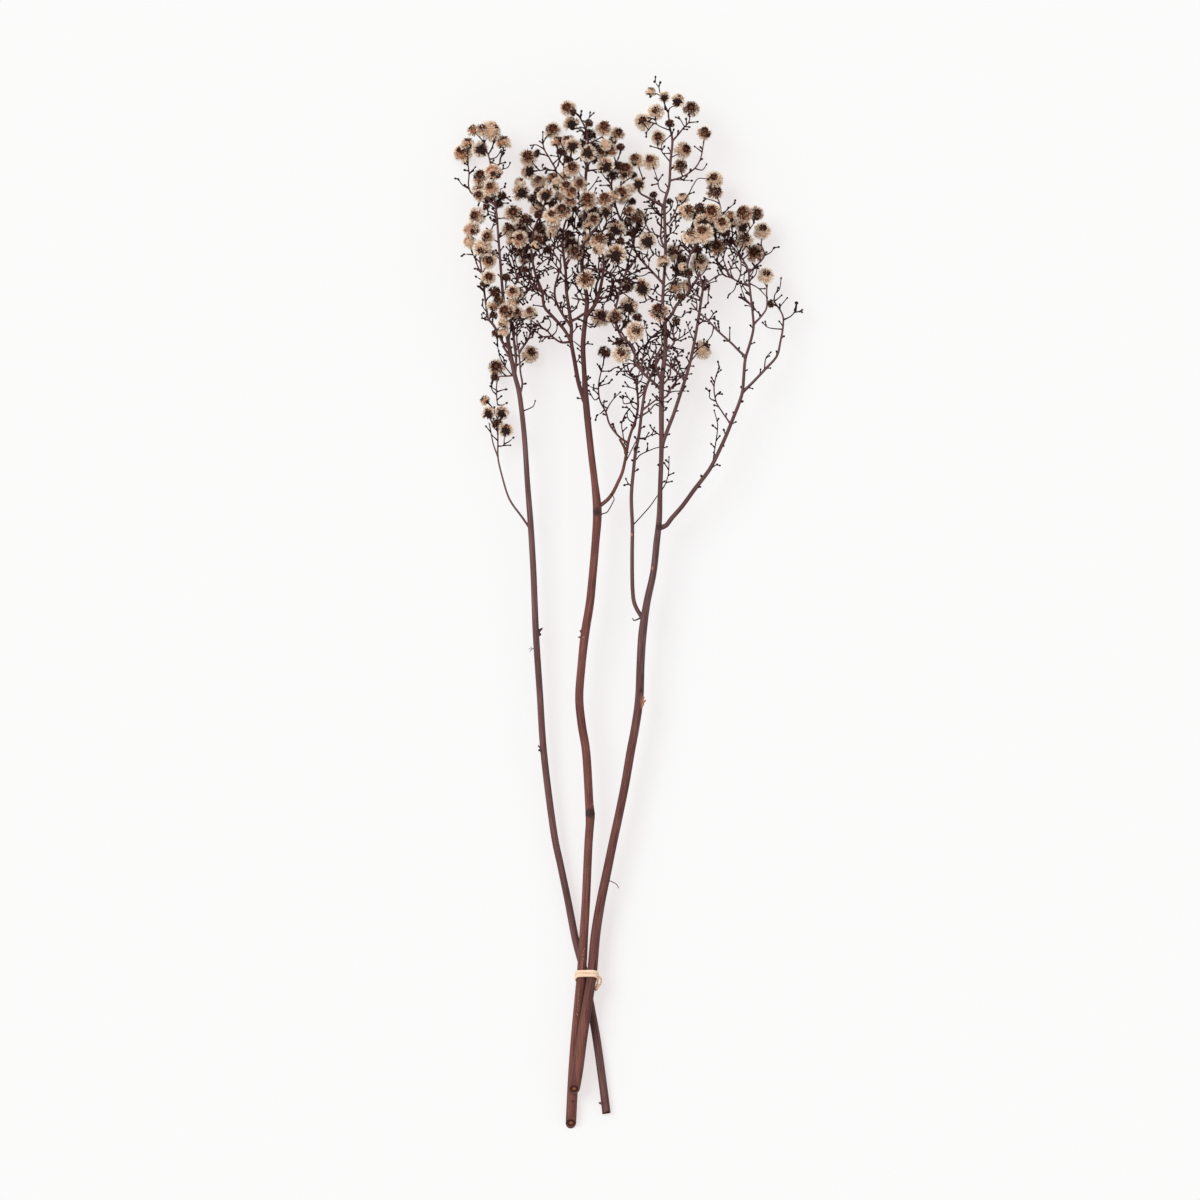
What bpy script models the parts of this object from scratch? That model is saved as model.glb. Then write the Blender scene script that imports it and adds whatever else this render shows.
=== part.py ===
"""Bunch of dried stirlingia: three cut, branched stems with fluffy flower heads, tied near the cut
ends with a doubled rubber band, and lying down on a level surface at z = 0.

The row runs along Y, with the flowers at +Y and the cut ends at -Y. Routes and places are in
millimetres; MM turns them into metres. Each stem and its woody branches grew as one piece, so they
are joined into one solid. Every flower head is a solid of its own at the tip of its thin stalk.
"""
import math
import random

import bmesh
import bpy
from mathutils import Vector

MM = 0.001
GAP = 0.3                # clear space between pieces that touch
STALK_WIDTH = 0.9        # thin stalk under a flower head
STALK_LEAD = 6.0         # a stalk leaves its branch this far below its head
HEAD_ROUGHNESS = 0.08    # how much the ball of a head varies in radius
CUT_FACING = (0.0, -0.68, 0.73)  # the slanting cuts look down the stems and up
BAND_WIDTH = 2.2         # one strand of the rubber band, along the stems
BAND_THICKNESS = 0.9
BAND_STRAND_SHIFT = 1.35  # each of the two turns lies this far from the middle of the band
BAND_CROSSING_LIFT = 1.1  # the outer turn stands this far off the inner one where they cross
BAND_POINTS = 44
BAND_SIDES = 8
BAND_Y = -245.5
BARK_RED = (0.14, 0.055, 0.045)
BARK_DARK = (0.10, 0.050, 0.045)
RUBBER_PEACH = (0.72, 0.48, 0.37)
FLUFF_TONES = {
    "cream": (0.78, 0.66, 0.52),
    "tan": (0.50, 0.35, 0.22),
    "brown": (0.24, 0.13, 0.07),
    "dark": (0.07, 0.035, 0.030),
}

for leftover in list(bpy.data.objects):
    bpy.data.objects.remove(leftover)
bunch = bpy.data.collections.new("stirlingia_bunch")
joining_pieces = bpy.data.collections.new("joining_pieces")
for collection in (bunch, joining_pieces):
    bpy.context.scene.collection.children.link(collection)


def plain_material(name, colour, roughness):
    """A Principled material of one colour."""
    material = bpy.data.materials.new(name)
    material.use_nodes = True
    shader = material.node_tree.nodes["Principled BSDF"]
    shader.inputs["Base Color"].default_value = (*colour, 1.0)
    shader.inputs["Roughness"].default_value = roughness
    shader.inputs["Metallic"].default_value = 0.0
    return material


def mesh_object(name, mesh, collection):
    """An object of this mesh in a collection, shaded smooth."""
    mesh.shade_smooth()
    made = bpy.data.objects.new(name, mesh)
    collection.objects.link(made)
    return made


def tube(name, route, widths, collection, roundness=1):
    """A closed tube along a route, with a width at each of its points."""
    curve = bpy.data.curves.new(name, "CURVE")
    curve.dimensions = "3D"
    curve.bevel_depth = MM
    curve.bevel_resolution = roundness
    curve.use_fill_caps = True
    spline = curve.splines.new("POLY")
    spline.points.add(len(route) - 1)
    for point, place, width in zip(spline.points, route, widths):
        point.co = (*(place * MM), 1.0)
        point.radius = width / 2
    drawn = bpy.data.objects.new(name + "_line", curve)
    bpy.context.scene.collection.objects.link(drawn)
    bpy.context.view_layer.update()
    mesh = bpy.data.meshes.new_from_object(drawn.evaluated_get(bpy.context.evaluated_depsgraph_get()))
    bpy.data.objects.remove(drawn)
    shape = bmesh.new()
    shape.from_mesh(mesh)
    bmesh.ops.remove_doubles(shape, verts=shape.verts, dist=0.000001)
    bmesh.ops.recalc_face_normals(shape, faces=shape.faces)
    shape.to_mesh(mesh)
    shape.free()
    return mesh_object(name, mesh, collection)


def saw_off(solid, place, facing):
    """Cuts the end off a tube along a slanting plane and closes the cut."""
    shape = bmesh.new()
    shape.from_mesh(solid.data)
    everything = shape.verts[:] + shape.edges[:] + shape.faces[:]
    bmesh.ops.bisect_plane(
        shape, geom=everything, plane_co=Vector(place) * MM, plane_no=facing, clear_outer=True)
    rim = [edge for edge in shape.edges if edge.is_boundary]
    bmesh.ops.edgeloop_fill(shape, edges=rim)
    shape.to_mesh(solid.data)
    shape.free()


def hide_operand(operand):
    """A piece that a Boolean joins into its neighbour isn't shown by itself."""
    operand.hide_render = True
    operand.display_type = "WIRE"


def join_pieces(target, pieces):
    """Joins a collection of pieces into a solid."""
    union = target.modifiers.new("grown_together", "BOOLEAN")
    union.operation = "UNION"
    union.operand_type = "COLLECTION"
    union.collection = pieces
    union.solver = "EXACT"


def taper(first, last, count):
    """Even steps from the first width to the last one."""
    return [first + (last - first) * step / (count - 1) for step in range(count)]


def nearest_on(route, wanted, flat=False):
    """The point of a route nearest to a wanted one, in plan only where flat is true."""
    best = None
    for start, end in zip(route, route[1:]):
        along = end - start
        reach = wanted - start
        if flat:
            along = along.to_2d()
            reach = reach.to_2d()
        share = min(max(reach.dot(along) / along.length_squared, 0.0), 1.0)
        place = start.lerp(end, share)
        offset = (wanted - place).to_2d() if flat else wanted - place
        if best is None or offset.length < best[0]:
            best = (offset.length, place)
    return best[1]


class Stem:
    """One cut stem, which branches and stalks are joined to."""

    def __init__(self, side, material, axis, widths):
        self.side = side
        self.axis = [Vector(place) for place in axis]
        self.solid = tube("stem_" + side, self.axis, widths, bunch, roundness=2)
        self.solid.data.materials.append(material)
        self.grown = bpy.data.collections.new("grown_on_" + side)
        joining_pieces.children.link(self.grown)
        self.head_count = 0

    def branch(self, parent, plan, top, widths):
        """A branch from a parent route: its plan points, the height of its tip, its two widths."""
        start = nearest_on(parent, Vector((*plan[0], 0.0)), flat=True)
        lengths = [0.0]
        for near, far in zip(plan, plan[1:]):
            lengths.append(lengths[-1] + (Vector(far) - Vector(near)).length)
        route = [start]
        for place, length in zip(plan[1:], lengths[1:]):
            route.append(Vector((*place, start.z + (top - start.z) * length / lengths[-1])))
        name = f"branch_{self.side}_{len(self.grown.objects) + 1}"
        hide_operand(tube(name, route, taper(*widths, len(route)), self.grown))
        return route

    def stalk(self, parent, centre, size):
        """A thin stalk from a parent route to just short of a head."""
        start = nearest_on(parent, centre - Vector((0.0, STALK_LEAD, 0.0)))
        towards = (centre - start).normalized()
        tip = centre - towards * (size / 2 + GAP)
        name = f"stalk_{self.side}_{len(self.grown.objects) + 1}"
        widths = taper(STALK_WIDTH, STALK_WIDTH * 0.8, 2)
        hide_operand(tube(name, [start, tip], widths, self.grown, roundness=0))

    def head(self, parent, tone, *places):
        """A flower head, or a few that have grown into one clump, on a parent route.

        A place is x, y, z and size, all in millimetres, and the first one gets the stalk.
        """
        self.head_count += 1
        name = f"head_{self.side}_{self.head_count:02d}"
        balls = [(Vector(place[:3]), place[3]) for place in places]
        first = fluffy_ball(name, *balls[0], bunch)
        first.data.materials.append(fluff[tone])
        self.stalk(parent, *balls[0])
        if len(balls) > 1:
            others = bpy.data.collections.new("clump_of_" + name)
            joining_pieces.children.link(others)
            for number, ball in enumerate(balls[1:], 2):
                hide_operand(fluffy_ball(f"{name}_ball_{number}", *ball, others))
            join_pieces(first, others)

    def finish(self):
        """Joins all that grew on the stem."""
        join_pieces(self.solid, self.grown)


def fluffy_ball(name, centre, size, collection):
    """A slightly uneven ball, whose lowest point stays at its full radius."""
    ball = bmesh.new()
    bmesh.ops.create_icosphere(ball, subdivisions=2, radius=size / 2 * MM)
    shapes = random.Random(name)
    lowest = min(ball.verts, key=lambda corner: corner.co.z)
    for corner in ball.verts:
        if corner is not lowest:
            corner.co *= 1.0 - HEAD_ROUGHNESS * shapes.random()
    bmesh.ops.translate(ball, verts=ball.verts, vec=centre * MM)
    mesh = bpy.data.meshes.new(name)
    ball.to_mesh(mesh)
    ball.free()
    return mesh_object(name, mesh, collection)


bark_red = plain_material("bark_red", BARK_RED, 0.7)
bark_dark = plain_material("bark_dark", BARK_DARK, 0.75)
rubber = plain_material("rubber_peach", RUBBER_PEACH, 0.55)
fluff = {tone: plain_material("fluff_" + tone, colour, 0.95) for tone, colour in FLUFF_TONES.items()}

# The left stem lies lowest: it passes under the other two at the band.
left = Stem("left", bark_dark, [
    (-12.0, -336, 2.85), (-18.6, -288, 4.2), (-26.4, -245, 5.4), (-32.3, -223, 6.2),
    (-37.6, -196, 7.2), (-47, -150, 9.0), (-53.3, -100, 11), (-56, -60, 12.5), (-58.6, -20, 14),
    (-60.2, 20, 15.5), (-62, 51, 17), (-64.2, 80, 18.5), (-66.2, 110, 20), (-69.3, 137, 21.5),
    (-72.5, 150, 22), (-75.5, 165, 23), (-77.5, 177, 23.5), (-79, 192, 24.5), (-80.6, 207, 25),
    (-82, 225, 26), (-83.4, 243, 26.5), (-84.3, 256, 27), (-86, 267, 27.5), (-86, 275, 28),
], [5.6, 5.4, 5.2, 5.0, 4.7, 4.6, 4.4, 4.3, 4.2, 4.1, 4.0, 3.6, 3.4, 3.2, 3.0, 2.8, 2.5, 2.2, 1.9,
    1.7, 1.5, 1.4, 1.2, 1.0])
left_outer = left.branch(left.axis, [
    (-76.3, 167.5), (-80, 171), (-83, 177), (-86.5, 183), (-90, 187.5), (-91, 194), (-92.3, 203),
    (-93, 212), (-94.5, 220), (-95.5, 227)], 24, (2.0, 1.1))
left_low = left.branch(left.axis, [
    (-61.8, 49), (-68, 57), (-74, 65), (-77.5, 72), (-81, 84), (-83.5, 95), (-83.7, 105),
    (-83.5, 113)], 12, (1.5, 1.0))
left_low_side = left.branch(left_low, [(-83.5, 96), (-86.5, 104), (-88, 111), (-89.5, 117)], 8, (1.0, 0.8))
left_hanging = left.branch(left.axis, [
    (-72.3, 149), (-78, 149.5), (-83, 149), (-84.5, 144), (-84.5, 136), (-84, 131)], 9, (1.1, 0.8))
left_middle = left.branch(left.axis, [
    (-72.2, 149), (-71.6, 160), (-72.5, 170), (-74, 180), (-75, 190), (-74.5, 199), (-72, 210),
    (-70, 214)], 24, (1.8, 1.2))
left_inner = left.branch(left.axis, [
    (-69.3, 137), (-67.5, 144), (-68.7, 152), (-69.5, 163), (-71, 172), (-71, 186)], 30, (1.5, 0.9))
left.branch(left_inner, [
    (-69.8, 165), (-66, 170), (-62.5, 176), (-61.5, 183)], 24, (1.1, 0.8))
left_crown = left.branch(left_middle, [
    (-70.5, 212), (-68, 219), (-66.5, 226), (-66, 236), (-66, 244)], 27, (1.4, 0.9))
left_crown_side = left.branch(left_middle, [
    (-70.5, 212.5), (-72.5, 221), (-74.5, 229), (-76.3, 237)], 22, (1.2, 0.8))
left_shoulder = left.branch(left.axis, [
    (-85.2, 262), (-91, 266), (-96, 267.5), (-101, 270), (-103, 275), (-102.7, 283), (-103.5, 290)],
    24, (1.5, 0.9))
left_upper = left.branch(left.axis, [
    (-86, 274), (-87.8, 284), (-89, 292), (-91, 298), (-92.5, 303)], 26, (1.3, 0.8))
left_upper_side = left.branch(left_upper, [
    (-87.6, 284), (-82.8, 288.5), (-81.5, 294), (-81, 297)], 27, (1.0, 0.8))
left_fan = left.branch(left_outer, [
    (-94, 217), (-97, 222), (-99, 228), (-101, 232)], 15, (1.0, 0.8))
left.head(left_upper, "tan", (-89, 309.5, 26, 13), (-98, 309, 24, 9.5))
left.head(left_upper_side, "brown", (-80, 302, 31, 9))
left.head(left_shoulder, "tan", (-107.5, 297, 5.6, 11.2))
left.head(left.axis, "tan", (-86, 283, 38, 10))
left.head(left.axis, "tan", (-97.5, 255, 22, 10))
left.head(left.axis, "brown", (-74, 256, 26, 11))
left.head(left_fan, "cream", (-101, 238, 18, 9), (-101, 246, 20, 10))
left.head(left_outer, "cream", (-93, 233, 27, 12), (-89.5, 226, 27, 9))
left.head(left.axis, "tan", (-89.5, 214, 35, 9))
left.head(left_crown_side, "tan", (-76, 246, 16, 10), (-68, 244, 18, 10), (-66, 252, 20, 9.5))
left.head(left_inner, "tan", (-78, 191, 36, 10))
left.head(left_inner, "tan", (-62.5, 164.5, 5.4, 10.8))
left.head(left_hanging, "tan", (-85, 156, 5.2, 10.4))
left.head(left_low, "dark", (-81, 125.5, 15, 8.6))
left.head(left_low_side, "dark", (-90, 125, 12, 8.4))
left.finish()

# The centre stem rests on the left one at the band and on the surface at its own cut end.
centre = Stem("centre", bark_red, [
    (-35.8, -349, 3.42), (-34.3, -318, 5.5), (-33.1, -298, 7.1), (-31.6, -278, 8.8),
    (-28.6, -245, 11.6), (-26.9, -217, 13), (-25.6, -196, 14), (-24.0, -160, 15.5),
    (-22.8, -139, 16.4), (-25.4, -99, 18), (-28.4, -80, 18.7), (-30, -62, 19.2), (-28.4, -40, 20),
    (-26.2, -20, 20.8), (-23, 0, 21.5), (-21, 20, 22), (-19.3, 40, 22.6), (-18.1, 60, 23.2),
    (-19.9, 80, 23.8), (-22.3, 100, 24.5), (-25.4, 130, 25.5), (-26.6, 150, 26), (-27.5, 170, 27),
    (-25.7, 189, 28), (-24.8, 200, 28.5), (-27.5, 214, 29), (-28.2, 224, 29.5), (-26.6, 240, 30),
    (-26.2, 256, 30.5), (-26, 275, 31), (-24.8, 292, 31.5), (-24, 302, 32), (-26, 312, 32),
    (-28.3, 317, 32), (-30.5, 321, 32),
], [7.0, 7.0, 6.8, 6.4, 6.2, 5.8, 5.6, 5.4, 5.5, 5.6, 5.6, 5.5, 5.4, 5.8, 5.6, 5.3, 5.3, 6.2, 4.6,
    4.4, 4.4, 3.2, 3.5, 2.9, 3.0, 2.6, 2.4, 2.2, 2.1, 1.9, 1.8, 1.7, 1.2, 1.0, 0.8])
saw_off(centre.solid, (-35.5, -343.5, 3.8), CUT_FACING)
centre_left = centre.branch(centre.axis, [
    (-25.4, 130), (-30.2, 144), (-33.2, 160), (-35.3, 172), (-35.2, 182), (-37, 195), (-38.6, 207),
    (-38.9, 218), (-40.4, 230), (-41, 238), (-39.8, 248), (-36.5, 256)], 34, (3.0, 1.2))
centre_spread = centre.branch(centre_left, [
    (-35.3, 172), (-40, 180), (-47.5, 188.5), (-53, 195), (-54.5, 205), (-59, 217), (-61.3, 230),
    (-61, 240), (-58, 250), (-54, 259), (-51, 268)], 32, (2.2, 1.2))
centre.branch(centre_left, [
    (-35.3, 171.5), (-42, 171.5), (-48, 175.5), (-51, 179), (-56, 181)], 34, (1.6, 0.9))
centre.branch(centre_left, [
    (-35.2, 182), (-41, 190), (-45.5, 199), (-46, 207), (-44, 215), (-42, 222), (-46, 229),
    (-50, 236)], 41, (1.9, 0.9))
centre.branch(centre_left, [
    (-38.9, 222), (-34, 229.5), (-27, 236), (-21, 243), (-17.5, 248)], 44, (1.9, 1.0))
centre.branch(centre_left, [
    (-36, 185), (-32, 187), (-29, 189), (-25.7, 191)], 28, (1.6, 1.8))
centre_right = centre.branch(centre.axis, [
    (-25.4, 190), (-20.5, 195), (-17.8, 201), (-15.3, 211), (-13.9, 221), (-14.5, 230)], 33, (2.0, 1.5))
centre_crest = centre.branch(centre_right, [
    (-14.2, 221), (-8, 231), (-3, 240), (-2.5, 250), (-5, 258), (-8, 268), (-9, 275), (-12, 280)],
    24, (1.6, 1.2))
centre_crown = centre.branch(centre_left, [
    (-40.4, 243), (-47, 252), (-49.5, 262), (-49, 272), (-45, 283), (-49, 292), (-53, 299),
    (-54.5, 306)], 22, (1.5, 0.9))
centre_gate = centre.branch(centre_left, [
    (-36.5, 256), (-38, 266), (-40, 280), (-40, 290), (-39.5, 297)], 35, (1.2, 0.8))
centre_reach = centre.branch(centre.axis, [
    (-17.9, 62), (-12, 67.5), (-8, 72.5), (-4.5, 79.5), (-1.5, 86.5), (0.8, 97), (2.5, 107),
    (5, 115), (7.5, 122), (8.8, 131), (8.0, 142)], 15, (2.6, 1.4))
centre_twig_fan = centre.branch(centre_reach, [
    (1.8, 105), (-3, 109), (-7.5, 114), (-10.5, 119), (-12.5, 126), (-16.5, 134), (-17.3, 143),
    (-16, 151), (-14, 158)], 10, (1.5, 0.8))
centre_top_side = centre.branch(centre.axis, [
    (-24, 302), (-19, 304.5), (-15, 306.5)], 30, (1.1, 0.8))
centre_shelf = centre.branch(centre.axis, [
    (-25.2, 284), (-20, 285), (-16, 285.5)], 27, (1.2, 0.9))
centre.head(centre.axis, "tan", (-37.5, 326, 32, 9.5))
centre.head(centre.axis, "dark", (-35.5, 315.5, 30, 9.5))
centre.head(centre_top_side, "brown", (-13.5, 313, 30, 9.8))
centre.head(centre.axis, "dark", (-24.5, 296, 42, 9.8))
centre.head(centre_gate, "dark", (-36, 301, 27, 10.5))
centre.head(centre_crown, "tan", (-48, 312.5, 5.0, 10))
centre.head(centre_crown, "tan", (-63.5, 293.5, 12, 10.8), (-63.5, 284.5, 14, 9.6))
centre.head(centre_crown, "tan", (-56, 276, 11, 10), (-48, 279, 10, 9))
centre.head(centre_shelf, "dark", (-12.5, 288, 37, 10.5))
centre.head(centre_gate, "cream", (-38, 272, 46, 10), (-36, 264.5, 45, 9.5))
centre.head(centre.axis, "cream", (-24.5, 265, 41, 10.5))
centre.head(centre_crest, "tan", (-13, 266, 38, 9.5), (-6, 266.5, 37, 9))
centre.head(centre_spread, "tan", (-68, 271, 24, 11))
centre.head(centre_left, "brown", (-41.5, 256.5, 50, 10), (-47.5, 252, 48, 10))
centre.head(centre_left, "cream", (-35, 235.5, 23, 10.5))
centre.head(centre_right, "cream", (-17, 238, 40, 11))
centre.head(centre_crest, "dark", (-6.5, 228.5, 42, 11))
centre.head(centre.axis, "tan", (-16, 188.5, 5.6, 11.2))
centre.head(centre_twig_fan, "dark", (-13.5, 165, 12, 9.4))
centre.finish()

# The right stem rests on the left one beside the band and lies over the centre one at the cut ends.
right = Stem("right", bark_red, [
    (-34.3, -326, 12.9), (-31.0, -308, 13.7), (-28.3, -288, 14.2), (-25.3, -268, 14.2),
    (-21.7, -245, 13.2), (-19.3, -219, 13.4), (-15.8, -197, 14.0), (-12.1, -179, 14.6),
    (-8, -159, 15.3), (-3.7, -139, 16.2), (0.3, -119, 17), (3.7, -99, 18), (7.2, -80, 18.8),
    (9.6, -62, 19.5), (10.4, -40, 20.5), (11.7, -20, 21.2), (14.5, 0, 22), (18.8, 20, 22.6),
    (21, 40, 23.2), (22.7, 56, 23.6), (23.3, 76, 24), (24.1, 100, 24.6), (24.1, 125, 25),
    (24.4, 146, 25.5), (26.6, 166, 26.4), (26.4, 182, 27), (25, 196, 27.6), (25.5, 210, 28),
    (26.4, 222, 28.6), (26.8, 236, 29), (26.2, 252, 29.6), (26.2, 264, 30), (29.2, 275, 30.4),
    (30, 290, 31), (31.3, 304, 31.5), (29.4, 314, 32), (28.4, 324.5, 32.5),
], [7.0, 7.2, 7.0, 6.8, 6.6, 6.4, 6.0, 5.9, 5.7, 5.6, 5.6, 5.7, 5.6, 5.5, 5.4, 5.6, 4.8, 4.4, 4.4,
    3.8, 3.1, 3.1, 3.6, 3.2, 2.9, 3.0, 2.2, 1.9, 1.9, 1.9, 2.0, 2.1, 1.8, 1.7, 1.6, 1.2, 1.0])
saw_off(right.solid, (-33.4, -320.5, 13.1), CUT_FACING)
right_inner = right.branch(right.axis, [
    (12.6, -11), (7, -2), (5.2, 8), (4.8, 30), (5, 50), (4.3, 70), (5.8, 88), (7.2, 100),
    (9.5, 112), (11.3, 127), (13.5, 140), (17, 149), (20.5, 157), (25.4, 166)], 26, (2.8, 1.6))
right_lean = right.branch(right.axis, [
    (24.1, 104), (28.5, 115), (32, 124), (37, 139), (41.5, 153), (45, 168), (48.2, 186),
    (50.3, 200), (51.6, 207), (53.5, 213)], 34, (2.6, 1.5))
right_back = right.branch(right.axis, [
    (24.3, 139), (18, 146), (12, 151.5), (7.3, 158), (5.8, 167), (1, 173), (-3.5, 180)],
    35, (2.1, 1.2))
right_fork = right.branch(right.axis, [
    (27, 184), (31, 190), (34, 196), (39.5, 201.5), (44, 208), (48, 214), (49, 218)], 30, (2.2, 1.6))
right_crown = right.branch(right_fork, [
    (43, 206.5), (42, 214), (41, 222), (44, 231), (51, 239), (57, 244), (58.5, 250)], 40, (1.9, 1.5))
right_bough = right.branch(right.axis, [
    (22.3, 50), (27, 51), (31, 56), (38, 64), (46, 75), (53, 84), (57, 90), (62, 100), (67, 111),
    (71, 121), (75, 131), (77.4, 139), (78.2, 148), (79.2, 160), (81.5, 168), (83.5, 175),
    (84.7, 182), (84, 192), (82.7, 203), (81.8, 212), (81.2, 219), (77.5, 226), (71, 234), (66, 238)],
    30, (3.2, 1.0))
right_outer = right.branch(right_bough, [
    (77.4, 138.5), (82, 143), (92, 153.5), (100, 162.5), (102.5, 172), (104.3, 182), (104, 190),
    (98.5, 199)], 14, (2.0, 1.0))
right.branch(right_outer, [
    (104.2, 186.5), (109.5, 189.5), (112, 193.5), (113.2, 198.5)], 12, (0.8, 2.0))
right.branch(right_bough, [
    (79.4, 161), (75, 166), (70, 171), (61, 179), (54, 186.5), (48.5, 191), (43.5, 197)], 41, (1.7, 0.9))
right_shoulder = right.branch(right_bough, [
    (84.8, 183.5), (90, 189), (93.5, 195), (93.4, 205), (94, 210)], 20, (1.4, 0.9))
right_reach = right.branch(right_bough, [
    (81.3, 218), (87, 222.5), (92, 229), (90, 236), (90.5, 240)], 18, (1.3, 0.9))
right.branch(right_bough, [
    (69.5, 117), (64, 126), (60, 133), (58.8, 143), (61, 152)], 20, (1.1, 0.8))
right.branch(right.axis, [
    (25.9, 261), (18, 265.5), (11, 269), (9, 271)], 26, (1.6, 1.0))
right_ladder = right.branch(right.axis, [
    (25.5, 210), (18, 218), (10, 227), (6, 235), (7, 245), (8, 249)], 24, (1.7, 1.0))
right_north = right.branch(right.axis, [
    (31.3, 304), (35, 308), (39, 313), (42, 316), (42.8, 320)], 29, (1.2, 0.8))
right_east = right.branch(right.axis, [
    (29.8, 278), (38, 280.5), (46, 286), (50, 293), (52, 304)], 27, (1.3, 0.8))
right.branch(right.axis, [
    (28.6, 323), (25.8, 329), (23.5, 335), (22, 339.5), (20.5, 345)], 34, (1.0, 1.4))
right.branch(right_crown, [
    (50, 238), (45, 236), (42.5, 236)], 36, (1.2, 0.9))
right_summit = right.branch(right_crown, [
    (58.2, 248), (63, 256), (62, 264), (60, 268)], 26, (1.3, 0.9))
right.head(right.axis, "dark", (35, 330.5, 33, 8.8))
right.head(right.axis, "tan", (20, 323, 30, 10))
right.head(right.axis, "tan", (12, 318, 5.2, 10.4))
right.head(right_north, "brown", (43.8, 326, 27, 9.6))
right.head(right_east, "brown", (52.5, 309.5, 26, 8.8))
right.head(right_east, "tan", (38.5, 298, 20, 10.6), (37, 289.5, 18, 9.4))
right.head(right.axis, "tan", (17.3, 291, 22, 10.4))
right.head(right_summit, "tan", (59.5, 279, 18, 10.5), (59, 271.5, 16, 10))
right.head(right_summit, "dark", (57, 256.5, 46, 11), (63.5, 250, 45, 10))
right.head(right_crown, "brown", (40.5, 257, 36, 10.4))
right.head(right_crown, "cream", (51, 243.5, 52, 11), (42.5, 241, 50, 9.6))
right.head(right_bough, "tan", (77.5, 248.5, 27, 9), (78.5, 256, 28, 10))
right.head(right_bough, "dark", (78.5, 240, 22, 10.5))
right.head(right_reach, "tan", (91, 245.5, 12, 10.6))
right.head(right_reach, "cream", (86, 231, 5.5, 11))
right.head(right_shoulder, "tan", (93.5, 216, 20, 10))
right.head(right_fork, "tan", (49.5, 224, 22, 11))
right.head(right.axis, "cream", (32, 230, 20, 10.6))
right.head(right.axis, "cream", (22, 191, 38, 12))
right.head(right_ladder, "dark", (15, 238, 33, 10.6))
right.head(right_lean, "cream", (51, 167, 5.6, 11.2))
right.head(right_back, "cream", (7, 178, 46, 11.4))
right.finish()


# The rubber band goes round all three stems twice and crosses itself once, on the right.
def band_route():
    """The doubled loop: it follows the outline of the three stems and shifts along them."""
    stems = [(centre.axis[4], 3.3), (right.axis[4], 3.6), (left.axis[2], 3.1)]
    route = []
    for step in range(BAND_POINTS):
        turn = 4 * math.pi * step / BAND_POINTS
        outwards = Vector((math.cos(turn), 0.0, math.sin(turn)))
        place, kept_clear = max(stems, key=lambda stem: stem[0].dot(outwards) + stem[1])
        lift = BAND_CROSSING_LIFT * (1 + math.cos(turn / 2)) / 2
        route.append(place + outwards * (kept_clear + GAP + BAND_THICKNESS / 2 + lift))
        route[-1].y = BAND_Y + BAND_STRAND_SHIFT * math.sin(turn / 2)
    return route


def oval_curve(name, across, along):
    """The band's cross-section, a flat oval."""
    curve = bpy.data.curves.new(name, "CURVE")
    spline = curve.splines.new("POLY")
    spline.points.add(BAND_SIDES - 1)
    for step, point in enumerate(spline.points):
        angle = 2 * math.pi * step / BAND_SIDES
        point.co = (across / 2 * math.cos(angle) * MM, -along / 2 * math.sin(angle) * MM, 0.0, 1.0)
    spline.use_cyclic_u = True
    outline = bpy.data.objects.new(name, curve)
    bpy.context.scene.collection.objects.link(outline)
    hide_operand(outline)
    return outline


band_line = bpy.data.curves.new("rubber_band", "CURVE")
band_line.dimensions = "3D"
band_line.twist_mode = "Z_UP"
band_line.bevel_mode = "OBJECT"
band_line.bevel_object = oval_curve("band_section", BAND_THICKNESS, BAND_WIDTH)
turns = band_line.splines.new("POLY")
turns.points.add(BAND_POINTS - 1)
for point, place in zip(turns.points, band_route()):
    point.co = (place.x * MM, place.z * MM, -place.y * MM, 1.0)
turns.use_cyclic_u = True
rubber_band = bpy.data.objects.new("rubber_band", band_line)
rubber_band.rotation_euler.x = math.pi / 2
bunch.objects.link(rubber_band)
band_line.materials.append(rubber)
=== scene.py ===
"""The looks of a bunch of dried stirlingia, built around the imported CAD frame.

Three cut, branched stems lie on a level surface with their fluffy flower heads at +Y, tied near
the cut ends with a doubled rubber band. Places are in millimetres in the frame's own axes, and
MM turns them into metres.
"""
import math
import random

import bmesh
import bpy
import numpy as np
from mathutils import Matrix, Vector


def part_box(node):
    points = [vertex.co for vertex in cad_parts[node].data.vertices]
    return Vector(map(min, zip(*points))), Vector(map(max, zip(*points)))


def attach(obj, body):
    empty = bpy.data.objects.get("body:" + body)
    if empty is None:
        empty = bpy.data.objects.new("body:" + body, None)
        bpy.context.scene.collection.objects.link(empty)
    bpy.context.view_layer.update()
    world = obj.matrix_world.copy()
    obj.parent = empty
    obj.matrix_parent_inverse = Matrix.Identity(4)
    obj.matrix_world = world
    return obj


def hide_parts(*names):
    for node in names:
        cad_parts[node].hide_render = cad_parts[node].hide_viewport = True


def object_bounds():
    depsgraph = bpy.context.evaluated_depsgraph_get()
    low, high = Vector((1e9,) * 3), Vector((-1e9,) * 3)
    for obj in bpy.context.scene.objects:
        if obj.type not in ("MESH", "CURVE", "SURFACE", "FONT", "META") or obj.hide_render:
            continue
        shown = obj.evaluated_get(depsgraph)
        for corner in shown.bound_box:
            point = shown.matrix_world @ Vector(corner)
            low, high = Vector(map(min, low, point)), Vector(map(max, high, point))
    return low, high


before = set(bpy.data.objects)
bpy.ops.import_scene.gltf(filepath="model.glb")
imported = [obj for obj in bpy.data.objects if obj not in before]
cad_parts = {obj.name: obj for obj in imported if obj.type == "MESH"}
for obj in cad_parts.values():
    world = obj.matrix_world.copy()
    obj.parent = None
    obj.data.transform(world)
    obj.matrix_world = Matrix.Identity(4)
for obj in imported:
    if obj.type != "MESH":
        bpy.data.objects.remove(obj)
cad_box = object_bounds()
MM = 0.001

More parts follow.
